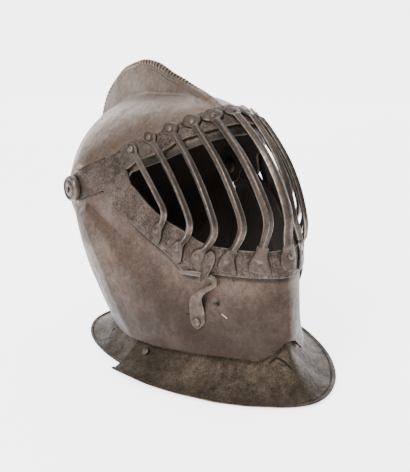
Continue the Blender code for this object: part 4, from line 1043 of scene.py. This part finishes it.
def make_bars():
    """Eleven bars from one table of shapes, then all their rivet heads as one piece. A
    shape is the foot's width, tip and fan, the top's width and tip, and both rivets."""
    shapes = (
        (0.0110, 0.0115, 0.0, 0.0105, 0.0066, 1.0, 1.0),
        (0.0125, 0.0125, 0.0, 0.0130, 0.0070, 1.0, 1.0),
        (0.0135, 0.0125, 0.0, 0.0150, 0.0074, 1.0, 0.6),
        (0.0180, 0.0120, 1.0, 0.0165, 0.0080, 0.3, 0.4),
        (0.0190, 0.0120, 1.0, 0.0185, 0.0085, 0.3, 0.5),
        (0.0120, 0.0110, 0.35, 0.0150, 0.0080, 1.0, 0.6))
    spots = []
    for k, (feet, sway, shape) in enumerate(zip(BAR_FEET, KNEE_SWAY, shapes)):
        spots += make_bar("bar_%d" % (k + 1), feet, sway, -1, shape)
        if k < 4:
            spots += make_bar("bar_%d" % (11 - k), feet, sway, 1, shape, LEFT_BULGE)
    spots += make_bar("bar_7", NEAR_LEFT_FEET, KNEE_SWAY[4], 1, shapes[4], NEAR_LEFT_BULGE)
    points, faces, start = [], [], 0
    for base, out, radius, head in spots:
        grid = lathe(dome(radius, 0.0006 + 0.0016 * head), base, out, 20)
        points.append(grid.reshape(-1, 3))
        faces += [[start + k for k in face] for face in tube_faces(grid.shape)]
        start += grid.shape[0] * grid.shape[1]
    near = np.tile(np.repeat(np.linspace(0.004, 0.0008, 8), 20), len(spots))
    # Painted shade round the foot of each rivet head
    shade_and_rust = np.tile(np.repeat((1.0, 0.8, 0.2, 0.0, 0.0, 0.0, 0.0, 0.0), 20), len(spots))
    piece("bar_rivet_heads", np.concatenate(points), faces, "visor", "rivets", (), near,
          closed=True, shade_and_rust=shade_and_rust)


def local_axes(angle, latitude, side):
    """Origin, rightwards, upwards and outwards on the form, seen from outside."""
    step = 0.4
    along = form_point(angle + step, latitude) - form_point(angle - step, latitude)
    over = form_point(angle, latitude + step) - form_point(angle, latitude - step)
    out = np.cross(over, along)
    out /= np.linalg.norm(out)
    up = np.array((0.0, 0.0, 1.0)) - out * out[2]
    up /= np.linalg.norm(up)
    axes = [form_point(angle, latitude), np.cross(up, out), up, out]
    return [axis * MIRROR for axis in axes] if side > 0 else axes


def ribbon(rows, count, axes, height, thick, crown=0.25):
    """Strip through rows of (right, up, width): a rounded flat section, crown
    higher in the middle, swept along a smooth line through the rows."""
    origin, right, up, out = axes
    walked = np.concatenate([[0.0], np.cumsum(np.hypot(*np.diff(rows[:, :2], axis=0).T))])
    at = np.linspace(0.0, walked[-1], count)
    keyed = np.column_stack([walked, rows])
    x, y, width = (table(keyed, at, k) for k in (1, 2, 3))
    end = np.minimum(at, at[-1] - at)
    width = width * np.clip(end / (0.45 * width + 1e-9), 0.0, 1.0) ** 0.5 + 1e-5
    heading = np.gradient(np.stack([x, y], 1), axis=0)
    heading /= np.linalg.norm(heading, axis=1, keepdims=True)
    across = -heading[:, 1, None] * right + heading[:, 0, None] * up
    level = height(y)
    middle = origin + x[:, None] * right + y[:, None] * up + level[:, None] * out
    sideways = np.sin(np.linspace(-0.5 * np.pi, 0.5 * np.pi, 9))
    top = thick * (1.0 - crown + crown * (1.0 - sideways ** 2)) * np.where(np.abs(sideways) > 0.99, 0.7, 1.0)
    section = np.stack([np.concatenate([sideways, (1.0, 0.0, -1.0)]) * 0.5,
                        np.concatenate([top, (0.12 * thick, 0.0, 0.12 * thick)])], -1)
    section = np.broadcast_to(section, (count, 12, 2)).copy()
    section[..., 0] *= width[:, None]
    grid = sweep(middle, across, np.broadcast_to(out, middle.shape), section)
    near = np.concatenate([(1 - np.abs(sideways)), np.zeros(3)]) * 0.5 * width[:, None]
    return grid, near


def make_catch(side):
    """Hook with a folded finger, its rivet on the bevor, and the frame's tab."""
    word = "_right" if side < 0 else "_left"
    axes = local_axes(CATCH_ANGLE, CATCH_LATITUDE, side)
    seat = BEVOR_TOP_HEIGHT + SEAT_GAP
    rows = HOOK_PATH * (HOOK_LENGTH, HOOK_LENGTH, HOOK_WIDTH)
    grid, near = ribbon(rows, 150, axes,
                        lambda y: seat + HOOK_LIFT * ease((y / HOOK_LENGTH - 0.10) / 0.6), HOOK_THICK)
    piece("catch_hook" + word + "_bent", grid, tube_faces(grid.shape), "catch" + word, "catch",
          ("catch_hook" + word,), near, closed=True)
    rows = TAB_PATH * (HOOK_LENGTH, HOOK_LENGTH, TAB_WIDTH)
    lift = seat + HOOK_LIFT + HOOK_THICK + TAB_GAP
    grid, near = ribbon(rows, 60, axes, lambda y: np.full_like(y, lift), TAB_THICK)
    piece("visor_tab" + word + "_leaf", grid, tube_faces(grid.shape), "visor", "visor",
          ("visor_tab" + word,), near, closed=True)
    head = seat + HOOK_THICK + SEAT_GAP
    profile = np.array(((seat, 0.0001), (seat, 0.0018), (head, 0.0018), (head, 0.0042),
                        (head + 0.0005, 0.0042), (head + 0.0010, 0.0038), (head + 0.0015, 0.0030),
                        (head + 0.0018, 0.0019), (head + 0.0019, 0.0001)))
    grid = lathe(profile, axes[0], axes[3], 28)
    near = np.array((0.004, 0.004, 0.004, 0.002, 0.0006, 0.0004, 0.0006, 0.001, 0.001))
    near = np.repeat(near[:, None], 28, 1)
    piece("catch_rivet" + word + "_head", grid, tube_faces(grid.shape), "chin", "rivets",
          ("catch_rivet" + word,), near, closed=True)


def column_values(values, count):
    """Values of a given list of columns, smoothly filled in between."""
    keyed = np.column_stack([np.linspace(0.0, 1.0, len(values)), values])
    return table(keyed, np.linspace(0.0, 1.0, count))


def flare(neck, collar, rim, bead):
    """Grid from the collar under the plate above, out to the rim: the height falls
    as 1 - (1 - s)^1.7 while the plan runs straight; a half-round bead follows the rim."""
    neck = neck - np.array((0.0, 0.0, NECK_STEP))
    length = np.linalg.norm(rim[:, :2] - neck[:, :2], axis=1)
    plain = np.linspace(0.0, 1.0, 30)[:-1, None] * (1.0 - 2.6 * bead / length)
    beaded = 1.0 - bead * np.linspace(2.6, 0.0, 16)[:, None] / length
    share = np.concatenate([plain, beaded])[..., None]
    drop = 1.0 - (1.0 - share) ** 1.7
    flat = neck[:, :2] + (rim[:, :2] - neck[:, :2]) * share
    height = neck[:, 2:] + (rim[:, 2:] - neck[:, 2:]) * drop
    skirt = np.concatenate([flat, height], -1)
    share = np.linspace(0.0, 1.0, 7)[:-1, None, None]
    grid = np.concatenate([collar + (neck - collar) * share, skirt])
    normal = np.cross(np.gradient(grid, axis=0), np.gradient(grid, axis=1))
    normal /= np.maximum(np.linalg.norm(normal, axis=-1, keepdims=True), 1e-12)
    normal *= np.sign(normal[-20:, :, 2].mean())
    from_rim = np.concatenate([np.full((35, len(length)), 1.0),
                               bead * np.linspace(2.6, 0.0, 16)[:, None] * np.ones(len(length))])
    arch = np.clip(1.0 - ((from_rim - 0.95 * bead) / bead) ** 2, 0.0, 1.0) ** 0.5
    groove = -0.25 * np.exp(-((from_rim - 2.15 * bead) / (0.22 * bead)) ** 2)
    return grid + normal * (0.62 * bead * arch + bead * groove + unevenness(grid) * 2.0)[..., None]


def both_sides(points):
    """Points of the right side, then their mirror image."""
    return np.concatenate([points, points[..., -2::-1, :] * MIRROR], -2)


def front_gorget():
    """Front plate: its rim is a superellipse in plan, a little higher at the corners."""
    angle = column_values(FRONT_COLUMNS, 90)
    latitude = last_latitude(angle)
    neck = layer_point(angle, latitude, -FRONT_INSET)
    share = (latitude - latitude[0]) / (90.0 - latitude[0])
    collar = layer_point(angle + COLLAR_ANGLE * (1.0 - 0.5 * share), latitude, -FRONT_INSET)
    turn = np.radians(90.0 * share)
    rim = np.stack([-RIM_HALF_WIDTH * np.cos(turn) ** (2 / RIM_POWER),
                    SHIFT - RIM_SIDE_BACK - (RIM_FRONT - RIM_SIDE_BACK) * np.sin(turn) ** (2 / RIM_POWER),
                    WALL + RIM_LIFT + CORNER_LIFT * np.cos(turn) ** 6], 1)
    return both_sides(flare(neck, collar, rim, BEAD))


def rear_gorget():
    """Rear plate: its collar goes deeper in where the bevor swings past."""
    angle = column_values(REAR_COLUMNS, 80)
    forward = ease((angle - CHEEK_SEAM + 12.0) / 30.0)
    under = -WALL - REAR_INSET - TUCK * forward
    neck = layer_point(angle, last_latitude(angle), under)
    tucked = last_latitude(angle) * (1.0 - COLLAR_SHARE * (1.0 - 0.6 * forward))
    collar = layer_point(angle, tucked, under)
    share = (angle[0] - angle) / (angle[0] - angle[-1])
    turn = np.radians(90.0 * share ** 0.8)
    rim = np.stack([-REAR_HALF_WIDTH * np.cos(turn) ** (2 / REAR_POWER),
                    SHIFT - RIM_SIDE_BACK + 0.0032 + REAR_DEPTH * np.sin(turn) ** (2 / REAR_POWER),
                    np.full(len(turn), WALL + RIM_LIFT)], 1)
    return both_sides(flare(neck, collar, rim, BEAD))


def make_gorgets():
    """Both flared plates, with their dents and, in the rear one, its holes."""
    for name, grid, node_name, body in (
            ("front_gorget_skirt", front_gorget(), "front_gorget_plate", "chin"),
            ("rear_gorget_skirt", rear_gorget(), "rear_gorget_plate", "shell")):
        centre = (0.0, float(grid[..., 1].mean()), -0.3)
        grid = dent(grid, DENTS[:1] if body == "chin" else DENTS[1:])
        keep = np.ones((grid.shape[0] - 1, grid.shape[1] - 1), bool)
        shade_and_rust = pierce(grid, keep, () if body == "chin" else REAR_HOLES)
        piece(name, grid, grid_quads(grid.shape[:2], keep), body, "gorget", (node_name,),
              edge_distance(grid), WALL, EDGE_ROUND, middle=centre, shade_and_rust=shade_and_rust)


def make_gorget_rivets():
    """Domed heads where the front gorget is riveted to the bevor."""
    for side, word in ((-1, "right"), (1, "left")):
        low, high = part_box("gorget_rivet_" + word)
        middle = 0.5 * (np.array(low) + np.array(high))
        out = np.array((side * 0.72, 0.1, 0.68))
        grid = lathe(dome(0.0042, 0.0020), middle - 0.0012 * out, out, 28)
        piece("gorget_rivet_%s_head" % word, grid, tube_faces(grid.shape), "chin", "rivets",
              ("gorget_rivet_" + word,), np.full(grid.shape[:2], 0.0012), closed=True)


def make_stage():
    """Pale floor that rises behind the helmet as one smooth sweep."""
    turn = np.linspace(0.0, 0.5 * np.pi, 24)
    run = np.concatenate([[-1.6, -0.6, 0.4, 1.2], 1.6 + 0.8 * np.sin(turn), [2.4, 2.4]])
    rise = np.concatenate([np.zeros(4), 0.8 * (1.0 - np.cos(turn)), [1.6, 3.2]])
    across = np.linspace(-3.0, 3.0, 9)
    away = np.array((math.sin(math.radians(35.0)), math.cos(math.radians(35.0))))
    side = np.array((away[1], -away[0]))
    plan = run[:, None, None] * away + across[None, :, None] * side
    grid = np.concatenate([plan, np.broadcast_to(rise[:, None, None], plan.shape[:2] + (1,))], -1)
    mesh = bpy.data.meshes.new("backdrop")
    mesh.from_pydata(grid.reshape(-1, 3).tolist(), [], grid_quads(grid.shape[:2]).tolist())
    mesh.shade_smooth()
    floor = bpy.data.objects.new("backdrop", mesh)
    bpy.context.scene.collection.objects.link(floor)
    paper = bpy.data.materials.new("backdrop_paper")
    paper.use_nodes = True
    shader = paper.node_tree.nodes["Principled BSDF"]
    shader.inputs["Base Color"].default_value = (0.88, 0.875, 0.89, 1.0)
    shader.inputs["Roughness"].default_value = 0.9
    shader.inputs["Specular IOR Level"].default_value = 0.1
    shader.inputs["Emission Color"].default_value = (0.97, 0.97, 1.0, 1.0)
    shader.inputs["Emission Strength"].default_value = 3.2
    mesh.materials.append(paper)


def add_light(name, place, aim, size, power, colour=(1.0, 1.0, 1.0)):
    """Soft box at a place, turned to what it lights."""
    lamp = bpy.data.lights.new(name, "AREA")
    lamp.shape = "RECTANGLE"
    lamp.size, lamp.size_y = size
    lamp.energy = power
    lamp.color = colour
    item = bpy.data.objects.new(name, lamp)
    bpy.context.scene.collection.objects.link(item)
    item.location = place
    item.rotation_euler = (Vector(place) - Vector(aim)).to_track_quat("Z", "Y").to_euler()


def make_light():
    """Large key from the wearer's right, a top light, a weak fill and a pale room."""
    add_light("key_softbox", (-1.5, -0.6, 1.5), (0.0, 0.0, 0.12), (0.9, 0.9), 72.0, (1.0, 0.99, 0.97))
    add_light("top_softbox", (0.1, 0.2, 1.9), (0.0, 0.0, 0.1), (1.6, 1.6), 22.0)
    add_light("fill_softbox", (1.3, -1.7, 0.8), (0.0, 0.0, 0.12), (1.4, 1.4), 3.0)
    world = bpy.data.worlds.new("studio")
    world.use_nodes = True
    sky = world.node_tree.nodes["Background"]
    sky.inputs["Color"].default_value = (0.93, 0.94, 1.0, 1.0)
    sky.inputs["Strength"].default_value = 0.30
    bpy.context.scene.world = world


def make_camera():
    """The photograph's viewing angle: 35 degrees to the wearer's right, 15.5 above."""
    turn, tilt = math.radians(-35.0), math.radians(15.5)
    back = Vector((math.sin(turn) * math.cos(tilt), -math.cos(turn) * math.cos(tilt), math.sin(tilt)))
    lens = bpy.data.cameras.new("camera")
    lens.sensor_fit = "VERTICAL"
    lens.sensor_height = 36.0
    lens.lens = 80.08
    lens.clip_start = 0.01
    item = bpy.data.objects.new("camera", lens)
    bpy.context.scene.collection.objects.link(item)
    item.location = Vector((0.0, SHIFT - 0.02073, 0.11525)) + back
    item.rotation_euler = back.to_track_quat("Z", "Y").to_euler()
    bpy.context.scene.camera = item


make_camera()
make_light()
make_stage()
make_skull()
make_comb_rope()
make_bevor()
make_visor_frame()
for piece_side, piece_word in ((-1, "right"), (1, "left")):
    make_visor_arm("visor_arm_" + piece_word, piece_side)
    make_pivot_disc("pivot_rivet_" + piece_word, piece_side)
    make_catch(piece_side)
make_bars()
make_gorgets()
make_gorget_rivets()
